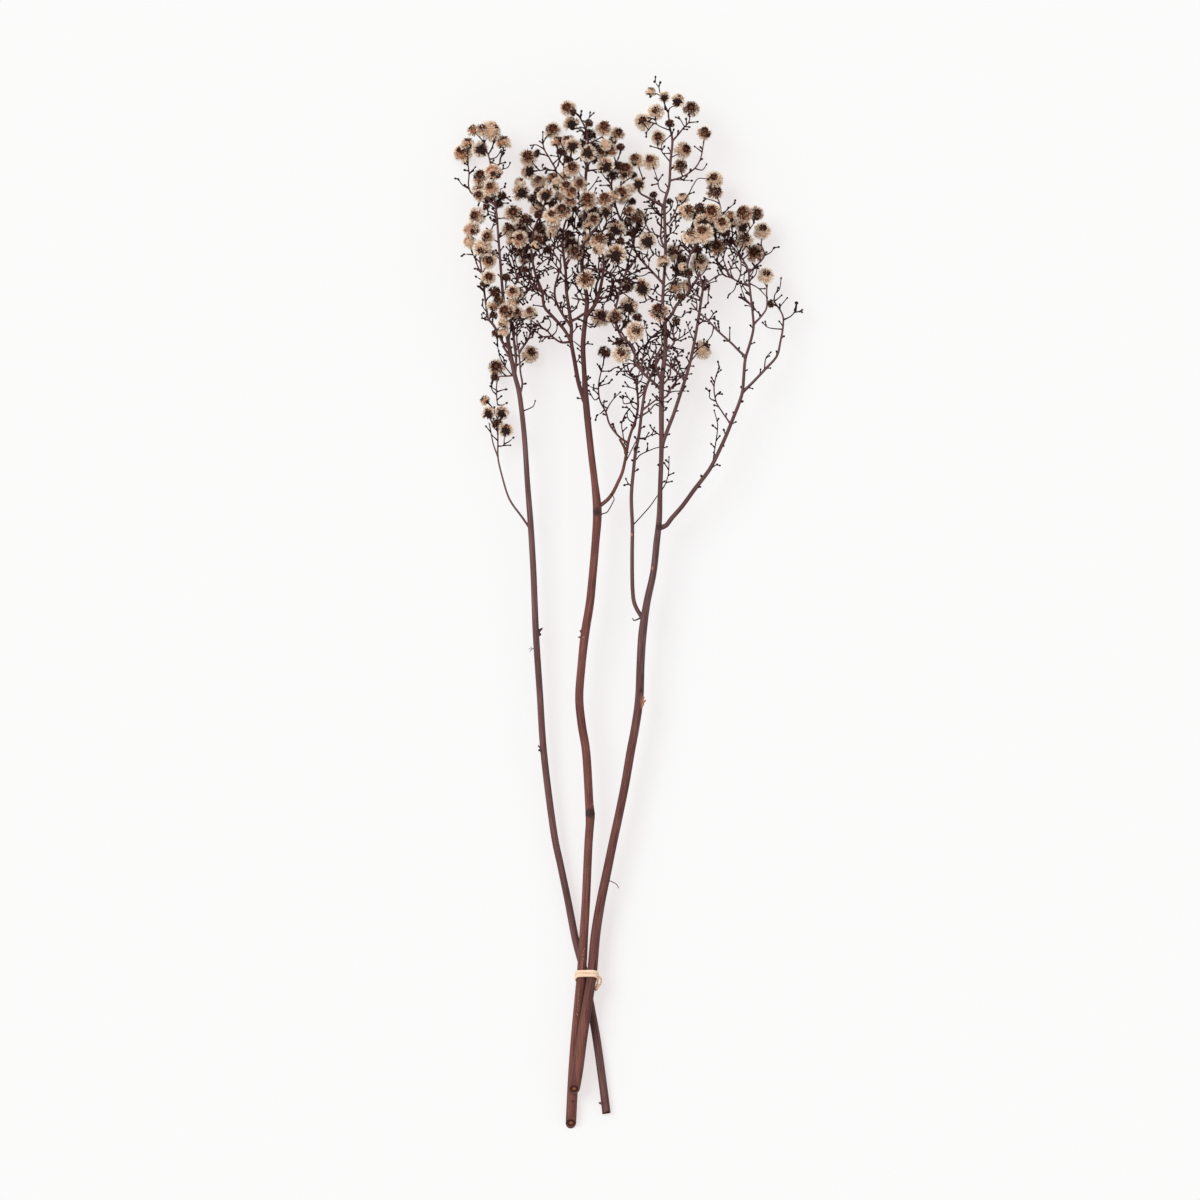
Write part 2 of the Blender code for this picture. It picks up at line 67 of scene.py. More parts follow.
# ---------------------------------------------------------------------------------------------
# The wood of the stems. Each stem was cut from a living bush: its axis, its branches and its thin
# twigs grew as one piece, and they dried to a streaked red-brown bark. Every stretch of wood is
# drawn as a smooth line with a width at each point, and the lines become closed tubes.
GRADES = {
    "stout": {"spacing": 3.0, "roundness": 6},
    "slender": {"spacing": 1.8, "roundness": 2},
    "fine": {"spacing": 1.3, "roundness": 1},
}
COLLAR = 0.55            # a branch starts this much thicker, where it left its parent
COLLAR_LENGTH = 1.6
TWIG_WIDTH = 0.72
TWIG_TAPER = (1.15, 0.85)
BUD = [(0.0, 1.0), (0.3, 1.8), (0.9, 2.3), (1.5, 1.7), (1.85, 0.5)]  # along from the neck, and width
BUD_MIDDLE = 0.9         # this point of a bud sits where its twig would end
SHOOT_SPACING = {"stout": 1.4, "slender": 1.0, "fine": 1.8}
STALK_WIDTH = 0.85
CLEARANCE = {"limb": 1.5, "shoot": 1.3, "twig": 1.2, "stalk": 0.8, "fluff": 0.2}  # above the surface
CUT, TWIG = 1, 2         # a stem's materials, after its bark


def smooth_line(places, widths, spacing):
    """A line that runs smoothly through the given places, with the widths between them."""
    line, thickness = [], []
    last = len(places) - 1
    for index in range(last):
        before, start = places[max(index - 1, 0)], places[index]
        end, after = places[index + 1], places[min(index + 2, last)]
        steps = max(1, round((end - start).length / spacing))
        for step in range(steps):
            t = step / steps
            line.append(0.5 * (
                2 * start + (end - before) * t + (2 * before - 5 * start + 4 * end - after) * t ** 2
                + (3 * start - before - 3 * end + after) * t ** 3))
            thickness.append(widths[index] + (widths[index + 1] - widths[index]) * t)
    return line + [places[-1]], thickness + [widths[-1]]


def taper(first, last, count):
    """Even steps from the first width to the last one."""
    return [first + (last - first) * step / (count - 1) for step in range(count)]


def put_in_scene(name, data):
    """An object for a mesh, a curve, a lamp or a camera."""
    made = bpy.data.objects.new(name, data)
    bpy.context.scene.collection.objects.link(made)
    return made


def mesh_of_curve(name, curve):
    """The mesh that a curve with a thickness draws."""
    drawn = put_in_scene(name, curve)
    bpy.context.view_layer.update()
    mesh = bpy.data.meshes.new_from_object(drawn.evaluated_get(bpy.context.evaluated_depsgraph_get()))
    bpy.data.objects.remove(drawn)
    return mesh


def finished_mesh(name, shape):
    """The mesh of a shape, which is then freed."""
    mesh = bpy.data.meshes.new(name)
    shape.to_mesh(mesh)
    shape.free()
    return mesh


def tube_mesh(name, lines, roundness):
    """One mesh that holds a closed tube for every line."""
    curve = bpy.data.curves.new(name, "CURVE")
    curve.dimensions = "3D"
    curve.bevel_depth = MM
    curve.bevel_resolution = roundness
    curve.use_fill_caps = True
    for line, widths in lines:
        spline = curve.splines.new("POLY")
        spline.points.add(len(line) - 1)
        for point, place, width in zip(spline.points, line, widths):
            point.co = (*(place * MM), 1.0)
            point.radius = width / 2
    return mesh_of_curve(name, curve)


class Wood:
    """The growing wood of one stem."""

    def __init__(self, side):
        self.side = side
        self.random = random.Random(side)
        self.lines = {grade: [] for grade in GRADES}
        self.grown = []  # each point that a twig or a stalk may start from

    def grow(self, grade, places, widths):
        """Adds a stretch of wood through these places and returns its smooth line."""
        places = [Vector(place) for place in places]
        line, thickness = smooth_line(places, widths, GRADES[grade]["spacing"])
        self.lines[grade].append((line, thickness))
        self.grown += line[1:]
        return line

    def branch(self, parent, plan, top, widths):
        """A branch from a parent line: its plan points, the height of its tip, its two widths."""
        start = min(parent, key=lambda point: (point.to_2d() - Vector(plan[0])).length)
        places = [start]
        lengths = [0.0]
        for near, far in zip(plan, plan[1:]):
            lengths.append(lengths[-1] + (Vector(far) - Vector(near)).length)
        for place, length in zip(plan[1:], lengths[1:]):
            places.append(Vector((*place, start.z + (top - start.z) * length / lengths[-1])))
        line = self.grow("slender", places, taper(*widths, len(places)))
        self.swell(self.lines["slender"][-1])
        return line

    def limb(self, width, *plan):
        """A small branch of its own from the nearest wood through plan points."""
        start = self.nearest(Vector((*plan[0], 0.0)), height_share=0.0)
        top = max(start.z + self.random.uniform(-1.0, 3.0), CLEARANCE["limb"])
        self.branch([start], plan, top, (width, width * 0.65))

    def swell(self, stretch):
        """The collar at the foot of a branch."""
        line, widths = stretch
        for index, point in enumerate(line):
            away = (point - line[0]).length
            widths[index] *= 1 + COLLAR * math.exp(-away / COLLAR_LENGTH)

    def nearest(self, wanted, height_share=1.0):
        """The point of the wood nearest to a wanted one; heights count by height_share."""
        return min(self.grown, key=lambda point: (
            (point.x - wanted.x) ** 2 + (point.y - wanted.y) ** 2
            + (height_share * (point.z - wanted.z)) ** 2))

    def twig(self, plan, rise=None, bud=True, width=TWIG_WIDTH):
        """A thin twig from the nearest wood through plan points; it ends in a bud."""
        start = self.nearest(Vector((*plan[0], 0.0)), height_share=0.0)
        slope = self.random.uniform(-0.35, 0.45) if rise is None else rise
        places = [start]
        for far in plan[1:]:
            run = (Vector(far) - places[-1].to_2d()).length
            height = max(places[-1].z + slope * run, CLEARANCE["twig"])
            places.append(Vector((*far, height)))
        self.add_twig(places, bud, width)

    def add_twig(self, places, bud=True, width=TWIG_WIDTH):
        """A twig through places in space."""
        foot_width, end_width = (width * share for share in TWIG_TAPER)
        tapered = taper(foot_width, end_width, len(places))
        line, widths = smooth_line(places, tapered, GRADES["fine"]["spacing"])
        self.swell((line, widths))
        self.grown += line[1:]
        if bud:
            onward = (line[-1] - line[-2]).normalized()
            size = self.random.uniform(0.8, 1.12)
            tip = line.pop()
            neck = widths.pop()
            for along, thickness in BUD:
                line.append(tip + onward * (along - BUD_MIDDLE) * size)
                widths.append(neck * thickness * size)
        self.lines["fine"].append((line, widths))

    def stub(self, place, towards, length, width):
        """The short dead foot of a twig that broke off."""
        start = self.nearest(Vector(place))
        onward = Vector(towards).normalized()
        places = [start, start + onward * length * 0.6, start + onward * length]
        self.lines["slender"].append((places, [width * 1.5, width, width * 0.5]))

    def sprig(self, foot, heading, length):
        """A thin, bent side twig with budded shoots left and right of it."""
        bend = Vector([self.random.uniform(-0.45, 0.45) for _ in range(3)])
        middle = foot + heading * length * 0.5
        tip = middle + (heading + bend).normalized() * length * 0.5
        for point in (middle, tip):
            point.z = max(point.z, CLEARANCE["shoot"])
        self.add_twig([foot, middle, tip])
        self.shoots([foot, middle, tip], 7.0, 0.4 if length > 9 else 0.0, length * 0.5)

    def shoots(self, line, spacing, share_of_sprigs, longest):
        """Short budded shoots on alternate sides of a line, some of them branched."""
        side = self.random.choice((-1, 1))
        since = self.random.uniform(0.2, 0.6) * spacing
        for near, far in zip(line, line[1:]):
            length = (far - near).length
            onward = (far - near) / length
            along = spacing - since
            while along < length:
                foot = near + onward * along
                across = Vector((-onward.y, onward.x, self.random.uniform(-0.6, 0.6))) * side
                way = (onward * self.random.uniform(0.6, 1.6) + across).normalized()
                if self.random.random() < share_of_sprigs:
                    self.sprig(foot, way, self.random.uniform(0.5, 1.0) * longest)
                else:
                    tip = foot + way * self.random.uniform(1.8, 4.2)
                    tip.z = max(tip.z, CLEARANCE["shoot"])
                    self.add_twig([foot, tip])
                side = -side
                since = self.random.uniform(-0.35, 0.35) * spacing
                along += spacing - since
            since = length - (along - spacing)

    def bud_out(self, where, spacing, share_of_sprigs, longest):
        """Shoots along all the wood whose points lie where they are wanted."""
        for grade, lines in list(self.lines.items()):
            for line, _ in list(lines):
                chosen = [point for point in line if where(point)]
                if len(chosen) > 2:
                    self.shoots(chosen, spacing * SHOOT_SPACING[grade], share_of_sprigs, longest)

    def stalk(self, centre, axis, size):
        """A stalk from the nearest wood to the foot of a flower head."""
        foot = centre - axis * size * 0.30
        start = self.nearest(foot - axis * 2.0 - Vector((0.0, 3.5, 0.0)), height_share=0.7)
        middle = start.lerp(foot, 0.55) - axis * 0.8
        middle.z = max(middle.z, CLEARANCE["stalk"])
        widths = [STALK_WIDTH, STALK_WIDTH * 0.9, STALK_WIDTH * 1.5]
        line, widths = smooth_line([start, middle, foot], widths, GRADES["fine"]["spacing"])
        self.swell((line, widths))
        self.lines["fine"].append((line, widths))

    def mesh(self, saw):
        """Everything that grew, as one mesh. saw cuts the stout wood's end off and closes it."""
        whole = bmesh.new()
        for grade, lines in self.lines.items():
            grown = tube_mesh(self.side + grade, lines, GRADES[grade]["roundness"])
            part = bmesh.new()
            part.from_mesh(grown)
            bmesh.ops.remove_doubles(part, verts=part.verts, dist=0.000002)
            bmesh.ops.recalc_face_normals(part, faces=part.faces)
            if grade == "stout":
                saw(part)
            if grade == "fine":
                for face in part.faces:
                    face.material_index = TWIG
            part.to_mesh(grown)
            part.free()
            whole.from_mesh(grown)
            bpy.data.meshes.remove(grown)
        for corner in whole.verts:
            corner.co.z = max(corner.co.z, 0.0)
        made = finished_mesh(self.side, whole)
        made.shade_smooth()
        return made


def saw_cut(place, facing, sunk):
    """Returns a cut for a stem's end: a slanting plane, a bark rim and a slightly sunken core."""
    def saw(part):
        everything = part.verts[:] + part.edges[:] + part.faces[:]
        bmesh.ops.bisect_plane(
            part, geom=everything, plane_co=Vector(place) * MM, plane_no=facing, clear_outer=True)
        rim = [edge for edge in part.edges if edge.is_boundary]
        cut = bmesh.ops.edgeloop_fill(part, edges=rim)["faces"]
        inwards = -Vector(facing).normalized()
        middle = cut[0].calc_center_median()
        reached = 1.0
        for share, depth in ((0.90, 0.05), (0.74, sunk), (0.45, sunk * 0.7), (0.25, sunk * 0.9)):
            raised = bmesh.ops.extrude_face_region(part, geom=cut)
            bmesh.ops.delete(part, geom=cut, context="FACES_ONLY")
            cut = [piece for piece in raised["geom"] if isinstance(piece, bmesh.types.BMFace)]
            ring = {corner for face in cut for corner in face.verts}
            for corner in ring:
                level = corner.co - middle
                level -= inwards * level.dot(inwards)
                corner.co = middle + level * share / reached + inwards * depth * MM
            reached = share
            for face in {face for corner in ring for face in corner.link_faces}:
                face.material_index = CUT
                face.smooth = False
    return saw


def place_node(tree, kind, inputs=None, **settings):
    """Adds a shader node, with its settings and with values or links for its inputs."""
    made = tree.nodes.new("ShaderNode" + kind)
    for name, value in settings.items():
        setattr(made, name, value)
    for name, value in (inputs or {}).items():
        if isinstance(value, bpy.types.NodeSocket):
            tree.links.new(value, made.inputs[name])
        else:
            made.inputs[name].default_value = value
    return made


def ramp(tree, factor, *stops):
    """A colour ramp with a stop for each place and colour."""
    made = place_node(tree, "ValToRGB", {"Fac": factor})
    band = made.color_ramp
    while len(band.elements) < len(stops):
        band.elements.new(0.5)
    for element, (position, colour) in zip(band.elements, stops):
        element.position = position
        element.color = (*colour, 1.0)
    return made.outputs["Color"]


def blend_colours(tree, factor, one, other, way="MIX"):
    """The colour between two others."""
    made = place_node(tree, "Mix", data_type="RGBA", blend_type=way)
    for name, value in (("Factor", factor), (6, one), (7, other)):
        socket = made.inputs[name]
        if isinstance(value, bpy.types.NodeSocket):
            tree.links.new(value, socket)
        elif isinstance(value, (float, int)):
            socket.default_value = value
        else:
            socket.default_value = (*value, 1.0)
    return made.outputs[2]


def new_group(name, inputs, outputs):
    """A shader node group with named inputs, each with its first value, and outputs."""
    group = bpy.data.node_groups.new(name, "ShaderNodeTree")
    for label, kind, value in inputs:
        socket = group.interface.new_socket(label, in_out="INPUT", socket_type="NodeSocket" + kind)
        socket.default_value = value
    for label, kind in outputs:
        group.interface.new_socket(label, in_out="OUTPUT", socket_type="NodeSocket" + kind)
    return group, group.nodes.new("NodeGroupInput").outputs, group.nodes.new("NodeGroupOutput")


def bark_group():
    """Streaked bark: colour, roughness and height from fine lines that run along the wood."""
    group, given, result = new_group("streaked_bark", [
        ("Pale", "Color", (0.26, 0.12, 0.085, 1)), ("Middle", "Color", (0.16, 0.065, 0.05, 1)),
        ("Dark", "Color", (0.065, 0.025, 0.023, 1)), ("Top", "Color", (0.05, 0.027, 0.03, 1)),
        ("Top start", "Float", 0.0), ("Top end", "Float", 0.14),
    ], [("Color", "Color"), ("Roughness", "Float"), ("Height", "Float")])
    here = place_node(group, "TexCoord").outputs["Object"]
    uv = place_node(group, "SeparateXYZ", {0: place_node(group, "UVMap", uv_map="UVMap").outputs["UV"]})
    turn = place_node(group, "Math", {0: uv.outputs["Y"], 1: math.tau}, operation="MULTIPLY")
    across = place_node(group, "Math", {0: turn.outputs[0]}, operation="COSINE")
    around = place_node(group, "Math", {0: turn.outputs[0]}, operation="SINE")
    grain = place_node(group, "CombineXYZ", {"X": across.outputs[0], "Y": around.outputs[0]})
    noises = []
    for stretch, scale, detail in ((16.0, 3.6, 6.0), (7.0, 7.5, 3.0)):
        along = place_node(group, "VectorMath", {0: here, "Scale": stretch}, operation="SCALE")
        drawn_out = place_node(
            group, "VectorMath", {0: grain.outputs[0], 1: along.outputs[0]}, operation="ADD")
        noise = place_node(group, "TexNoise", {
            "Vector": drawn_out.outputs[0], "Scale": scale, "Detail": detail, "Roughness": 0.65})
        noises.append(noise.outputs["Fac"])
    lines, fibres = noises
    blotches = place_node(group, "TexNoise", {"Vector": here, "Scale": 45.0, "Detail": 3.0})
    flecks = place_node(group, "TexNoise", {"Vector": here, "Scale": 1100.0, "Detail": 2.0})
    streaked = ramp(group, lines, (0.36, (0, 0, 0)), (0.62, (1, 1, 1)))
    bright = ramp(group, fibres, (0.50, (0, 0, 0)), (0.74, (0.75, 0.75, 0.75)))
    shade = ramp(group, blotches.outputs["Fac"], (0.3, (0.80, 0.78, 0.78)), (0.7, (1.12, 1.12, 1.12)))
    fleck = ramp(group, flecks.outputs["Fac"], (0.62, (0, 0, 0)), (0.76, (0.4, 0.4, 0.4)))
    body = blend_colours(group, streaked, given["Dark"], given["Middle"])
    body = blend_colours(group, bright, body, given["Pale"])
    body = blend_colours(group, fleck, body, given["Pale"])
    place = place_node(group, "SeparateXYZ", {0: here})
    up = place_node(group, "MapRange", {
        "Value": place.outputs["Y"], "From Min": given["Top start"], "From Max": given["Top end"]})
    top = blend_colours(group, streaked, given["Dark"], given["Top"])
    colour = blend_colours(group, up.outputs["Result"], body, top)
    colour = blend_colours(group, 1.0, colour, shade, "MULTIPLY")
    rough = place_node(group, "MapRange", {"Value": lines, "To Min": 0.8, "To Max": 0.55})
    group.links.new(colour, result.inputs["Color"])
    group.links.new(rough.outputs["Result"], result.inputs["Roughness"])
    group.links.new(lines, result.inputs["Height"])
    return group


def mark_group():
    """A soft oval mark on the wood: a scar, a node or a fleck, 1 inside and 0 away from it."""
    group, given, result = new_group("wood_mark", [
        ("Centre", "Vector", (0, 0, 0)), ("Reach", "Vector", (1, 1, 1)),
    ], [("Mask", "Float")])
    here = place_node(group, "TexCoord").outputs["Object"]
    offset = place_node(group, "VectorMath", {0: here, 1: given["Centre"]}, operation="SUBTRACT")
    share = place_node(group, "VectorMath", {0: offset.outputs[0], 1: given["Reach"]}, operation="DIVIDE")
    away = place_node(group, "VectorMath", {0: share.outputs[0]}, operation="LENGTH")
    rough = place_node(group, "TexNoise", {"Vector": here, "Scale": 700.0})
    edge = place_node(
        group, "Math", {0: rough.outputs["Fac"], 1: 0.7, 2: away.outputs["Value"]}, operation="MULTIPLY_ADD")
    mask = place_node(group, "MapRange", {
        "Value": edge.outputs[0], "From Min": 0.85, "From Max": 1.35, "To Min": 1.0, "To Max": 0.0})
    group.links.new(mask.outputs["Result"], result.inputs["Mask"])
    return group


streaked_bark = bark_group()
wood_mark = mark_group()
NODE_DARK = (0.048, 0.024, 0.023)
RAW_WOOD = (0.46, 0.20, 0.11)
PALE_FLECK = (0.33, 0.18, 0.135)
# Painted light: the red-brown of a stem's upper left flank, where the window's light falls.
PAINTED_LIT_FLANK = (0.185, 0.070, 0.048)
BARK_RELIEF = 0.00012


def new_material(name):
    """A material, its node tree and its shader."""
    material = bpy.data.materials.new(name)
    material.use_nodes = True
    return material, material.node_tree, material.node_tree.nodes["Principled BSDF"]


def bark(name, tones, marks):
    """The bark of one stem: streaks in its own tones, and its own marks."""
    material, tree, shader = new_material(name)
    streaks = place_node(tree, "Group", node_tree=streaked_bark)
    for label, value in tones.items():
        streaks.inputs[label].default_value = (*value, 1.0) if isinstance(value, tuple) else value
    colour = streaks.outputs["Color"]
    for centre, reach, tint in marks:
        mark = place_node(tree, "Group", node_tree=wood_mark)
        mark.inputs["Centre"].default_value = Vector(centre) * MM
        mark.inputs["Reach"].default_value = Vector(reach) * MM
        colour = blend_colours(tree, mark.outputs["Mask"], colour, tint)
    relief = place_node(tree, "Bump", {
        "Height": streaks.outputs["Height"], "Strength": 0.6, "Distance": BARK_RELIEF})
    tree.links.new(colour, shader.inputs["Base Color"])
    tree.links.new(streaks.outputs["Roughness"], shader.inputs["Roughness"])
    tree.links.new(relief.outputs["Normal"], shader.inputs["Normal"])
    shader.inputs["Specular IOR Level"].default_value = 0.15
    return material


def cut_wood(name, centre, radius):
    """The sawn end of a stem: a dark rim, paler wood with fine cracks and an orange pith."""
    material, tree, shader = new_material(name)
    here = place_node(tree, "TexCoord").outputs["Object"]
    offset = place_node(tree, "VectorMath", {0: here, 1: Vector(centre) * MM}, operation="SUBTRACT")
    flat = place_node(tree, "VectorMath", {0: offset.outputs[0], 1: (1, 0.9, 0.9)}, operation="MULTIPLY")
    away = place_node(tree, "VectorMath", {0: flat.outputs[0]}, operation="LENGTH")
    share = place_node(tree, "Math", {0: away.outputs["Value"], 1: radius * MM}, operation="DIVIDE")
    grit = place_node(tree, "TexNoise", {"Vector": here, "Scale": 900.0, "Detail": 4.0})
    worn = place_node(
        tree, "Math", {0: grit.outputs["Fac"], 1: 0.28, 2: share.outputs[0]}, operation="MULTIPLY_ADD")
    colour = ramp(
        tree, worn.outputs[0], (0.0, (0.36, 0.13, 0.055)), (0.36, (0.27, 0.090, 0.040)),
        (0.52, (0.10, 0.036, 0.022)), (0.70, (0.022, 0.009, 0.008)), (0.86, (0.05, 0.019, 0.015)),
        (1.0, (0.16, 0.062, 0.050)))
    relief = place_node(tree, "Bump", {"Height": grit.outputs["Fac"], "Strength": 0.7, "Distance": 0.0002})
    tree.links.new(colour, shader.inputs["Base Color"])
    shader.inputs["Roughness"].default_value = 0.85
    shader.inputs["Specular IOR Level"].default_value = 0.1
    tree.links.new(relief.outputs["Normal"], shader.inputs["Normal"])
    return material


def show(name, mesh, materials, node):
    """Puts a finished piece in the scene, in place of its CAD node."""
    for material in materials:
        mesh.materials.append(material)
    piece = put_in_scene(name, mesh)
    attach(piece, "root")
    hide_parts(node)


# ---------------------------------------------------------------------------------------------
# The flower heads. Each one is a ball of small florets on a dark core: tufts of silky hairs and, on
# top, a brown cup with curled lobes and a thin style. Dark pointed bracts stand round the foot.
# Shapes are made once for a head of radius 1, and then copied.
#
# The map named OFBake is a colour chart. Across, it runs from a part's root to its tip. Upwards, it
# has rows for the bracts, the core, the inside of a cup (dark brown deepened with painted shade), the
# styles, the lobes and the cups, and a band for the fluff, which is brown at the bottom and cream at
# the top.
BRACT_ROW, CORE_ROW, SHADED_INSIDE_ROW, STYLE_ROW, LOBE_ROW, CUP_ROW = 0.05, 0.11, 0.19, 0.23, 0.27, 0.31
FLUFF_ROW, FLUFF_SPREAD = 0.68, 0.15  # the middle of the fluff's band, and how far hairs vary
FLUFF_FROM, FLUFF_TO = 0.40, 0.97     # the ends of the band
HUSKS_END = 0.36                      # the rows below this aren't fluff
CHART_STEP = 0.012                    # a face covers at least this much of the chart
HAIR = [(0.0, 0.0, 0.0), (0.5, 0.12, 0.70), (-0.5, 0.12, 0.84), (0.0, -0.1, 1.0)]  # aside, up and along
HAIR_WIDTH = 0.056
PALER_OUTSIDE = 0.46                  # how much paler the fluff gets down the side of a head
FELT = 0.43                           # how far across the chart the down on the core lies
GOLDEN_ANGLE = math.pi * (3 - math.sqrt(5))
FLUFF, HUSK, BRACT = 0, 1, 2
FLORETS = {  # the least and most that hairs lean out, and the width and the height of the cup's mouth
    "eye": {"hairs": 84, "nearest": 0.98, "widest": 1.50, "cup": 0.48, "top": 0.80},
    "wide eye": {"hairs": 70, "nearest": 0.95, "widest": 1.50, "cup": 0.54, "top": 0.76},
    "cupped": {"hairs": 48, "nearest": 0.66, "widest": 1.45, "cup": 0.30, "top": 0.80},
    "shaggy": {"hairs": 50, "nearest": 0.10, "widest": 0.86, "cup": 0.0, "top": 0.66},
    "worn": {"hairs": 24, "nearest": 0.5, "widest": 1.4, "cup": 0.30, "top": 0.76},
    "thin": {"hairs": 20, "nearest": 0.5, "widest": 1.3, "cup": 0.26, "top": 0.74},
}
HEADS = {  # the floret on top, the others and how high they start, the width of bracts and the core
    "full": {
        "crown": "eye", "florets": ["shaggy"] * 9, "high": 0.54, "bracts": 0.34, "core": 0.62, "felt": True},
    "open": {
        "crown": "wide eye", "florets": ["shaggy", "worn"] + ["shaggy"] * 6, "high": 0.50, "bracts": 0.34,
        "core": 0.62, "felt": True},
    "husky": {
        "crown": None, "florets": ["worn", "thin"] * 3 + ["worn"], "high": 0.9, "bracts": 0.46, "core": 0.45,
        "felt": False},
    "downy": {
        "crown": None, "florets": ["shaggy", "shaggy", "cupped"] * 2 + ["shaggy"] * 4, "high": 0.92,
        "bracts": 0.28, "core": 0.62, "felt": True},
    "backed": {
        "crown": "eye", "florets": ["shaggy"] * 7, "high": 0.62, "bracts": 0.84, "core": 0.54, "felt": True},
}
FLORET_VARIANTS = 5
HEAD_VARIANTS = 4
LOBES = 9      # round the mouth of a cup
SPREAD = 1.10  # how much wider the fluff reaches than a head's nominal size


def point_to(direction):
    """The turn that takes +Z to a direction."""
    return Vector(direction).to_track_quat("Z", "Y").to_matrix().to_4x4()


def lay_on_chart(layer, faces, row, across, material):
    """Places faces on the colour chart: a corner lies as far across as its vertex is given."""
    for face in faces:
        face.material_index = material
        for turn, corner in enumerate(face.loops):
            share = across.get(corner.vert, 0.0)
            corner[layer].uv = (
                0.02 + 0.95 * share + CHART_STEP * (turn == 2), row + CHART_STEP * (turn % 2))


def faces_of(corners):
    """The faces that meet at any of these vertices."""
    return {face for corner in corners for face in corner.link_faces}


def add_hair(shape, layer, root, way, turn, length, width, row, material):
    """A thin closed sliver, pointed at both ends and widest near its tip."""
    corners = bmesh.ops.create_cone(
        shape, cap_ends=True, segments=3, radius1=1.0, radius2=0.0, depth=1.0)["verts"]
    lie = Matrix.Translation(root) @ point_to(way) @ Matrix.Rotation(turn, 4, "Z")
    for corner, (aside, up, along) in zip(corners, HAIR):
        corner.co = lie @ Vector((aside * width, up * width, along * length))
    across = {corner: along for corner, (_, _, along) in zip(corners, HAIR)}
    lay_on_chart(layer, faces_of(corners), row, across, material)


def add_lobe(shape, layer, root, way, length, width, row, material, sides):
    """A flattened pointed lobe or bract."""
    lie = Matrix.Translation(root) @ point_to(way) @ Matrix.Diagonal((1.0, 0.42, 1.0, 1.0))
    corners = bmesh.ops.create_cone(
        shape, cap_ends=True, segments=sides, radius1=width / 2, radius2=0.0, depth=length,
        matrix=lie @ Matrix.Translation((0, 0, length / 2)))["verts"]
    tip = max(corners, key=lambda corner: (corner.co - root).length)
    lay_on_chart(layer, faces_of(corners), row, {tip: 1.0}, material)


def leaning(lean, turn):
    """The direction that leans from +Z by an angle, towards a turn round it."""
    return Vector((math.sin(lean) * math.cos(turn), math.sin(lean) * math.sin(turn), math.cos(lean)))


def floret_mesh(kind, chance):
    """A floret that grows along +Z from the middle of a head of radius 1."""
    made = FLORETS[kind]
    shape = bmesh.new()
    layer = shape.loops.layers.uv.new("OFBake")
    if made["cup"]:
        walls = faces_of(bmesh.ops.create_cone(
            shape, cap_ends=True, segments=8, radius1=0.08, radius2=made["cup"], depth=made["top"] - 0.30,
            matrix=Matrix.Translation((0, 0, (made["top"] + 0.30) / 2)))["verts"])
        lay_on_chart(layer, walls, CUP_ROW, {}, HUSK)
        mouth = [face for face in walls if face.normal.z > 0.9]
        rim = bmesh.ops.inset_region(shape, faces=mouth, thickness=0.06, depth=0.0)["faces"]
        lay_on_chart(layer, rim, CUP_ROW, {corner: 1.0 for face in rim for corner in face.verts}, HUSK)
        hollow = bmesh.ops.inset_region(shape, faces=mouth, thickness=0.015, depth=-0.12)["faces"]
        bottom = made["cup"] * 0.46
        hollow += bmesh.ops.inset_region(shape, faces=mouth, thickness=bottom, depth=0.0)["faces"]
        # The hollow of a cup: its own dark brown, deepened with painted shade.
        lay_on_chart(layer, hollow, SHADED_INSIDE_ROW, {}, HUSK)
        lay_on_chart(layer, mouth, STYLE_ROW, {}, HUSK)
        for part in range(LOBES):
            turn = (part + chance.uniform(-0.4, 0.4)) * math.tau / LOBES
            side = Vector((math.cos(turn), math.sin(turn), 0.0))
            way = side * chance.uniform(0.8, 1.8) + Vector((0, 0, chance.uniform(0.1, 0.8)))
            foot = side * made["cup"] * 0.86 + Vector((0, 0, made["top"] - 0.03))
            add_lobe(shape, layer, foot, way, chance.uniform(0.16, 0.38), 0.14, LOBE_ROW, HUSK, 3)
    for _ in range(made["hairs"]):
        way = leaning(chance.uniform(made["nearest"], made["widest"]), chance.uniform(0, math.tau))
        height = chance.uniform(0.36, made["top"] - 0.12)
        level = way.to_2d().normalized() * 0.12
        if kind == "worn":  # worn down to short brown stubble
            reach, row, material = chance.uniform(0.80, 0.95) - height * 0.9, LOBE_ROW, HUSK
        else:
            reach, row, material = chance.uniform(0.94, 1.10) - height * 0.9, FLUFF_ROW, FLUFF
            row += chance.uniform(-1, 1) * FLUFF_SPREAD
        add_hair(shape, layer, Vector((*level, height)), way, chance.uniform(0, math.tau), reach,
                 HAIR_WIDTH * chance.uniform(0.75, 1.25), row, material)
    style = leaning(chance.uniform(0.0, 0.35), chance.uniform(0, math.tau))
    foot = Vector((0, 0, 0.5))
    add_hair(shape, layer, foot, style, 0.0, 0.5, 0.03, STYLE_ROW, HUSK)
    add_hair(shape, layer, foot + style * 0.36, style, 1.5, 0.13, 0.07, STYLE_ROW, HUSK)
    bmesh.ops.recalc_face_normals(shape, faces=shape.faces)
    return finished_mesh("floret_" + kind, shape)


def retone(mesh, change):
    """Moves the fluff of a mesh up or down its band of the colour chart: paler or darker."""
    chart = np.empty(len(mesh.loops) * 2, np.float32)
    mesh.uv_layers["OFBake"].uv.foreach_get("vector", chart)
    rows = chart[1::2]
    fluffy = rows > HUSKS_END
    rows[fluffy] = np.clip(rows[fluffy] + change, FLUFF_FROM, FLUFF_TO)
    mesh.uv_layers["OFBake"].uv.foreach_set("vector", chart)


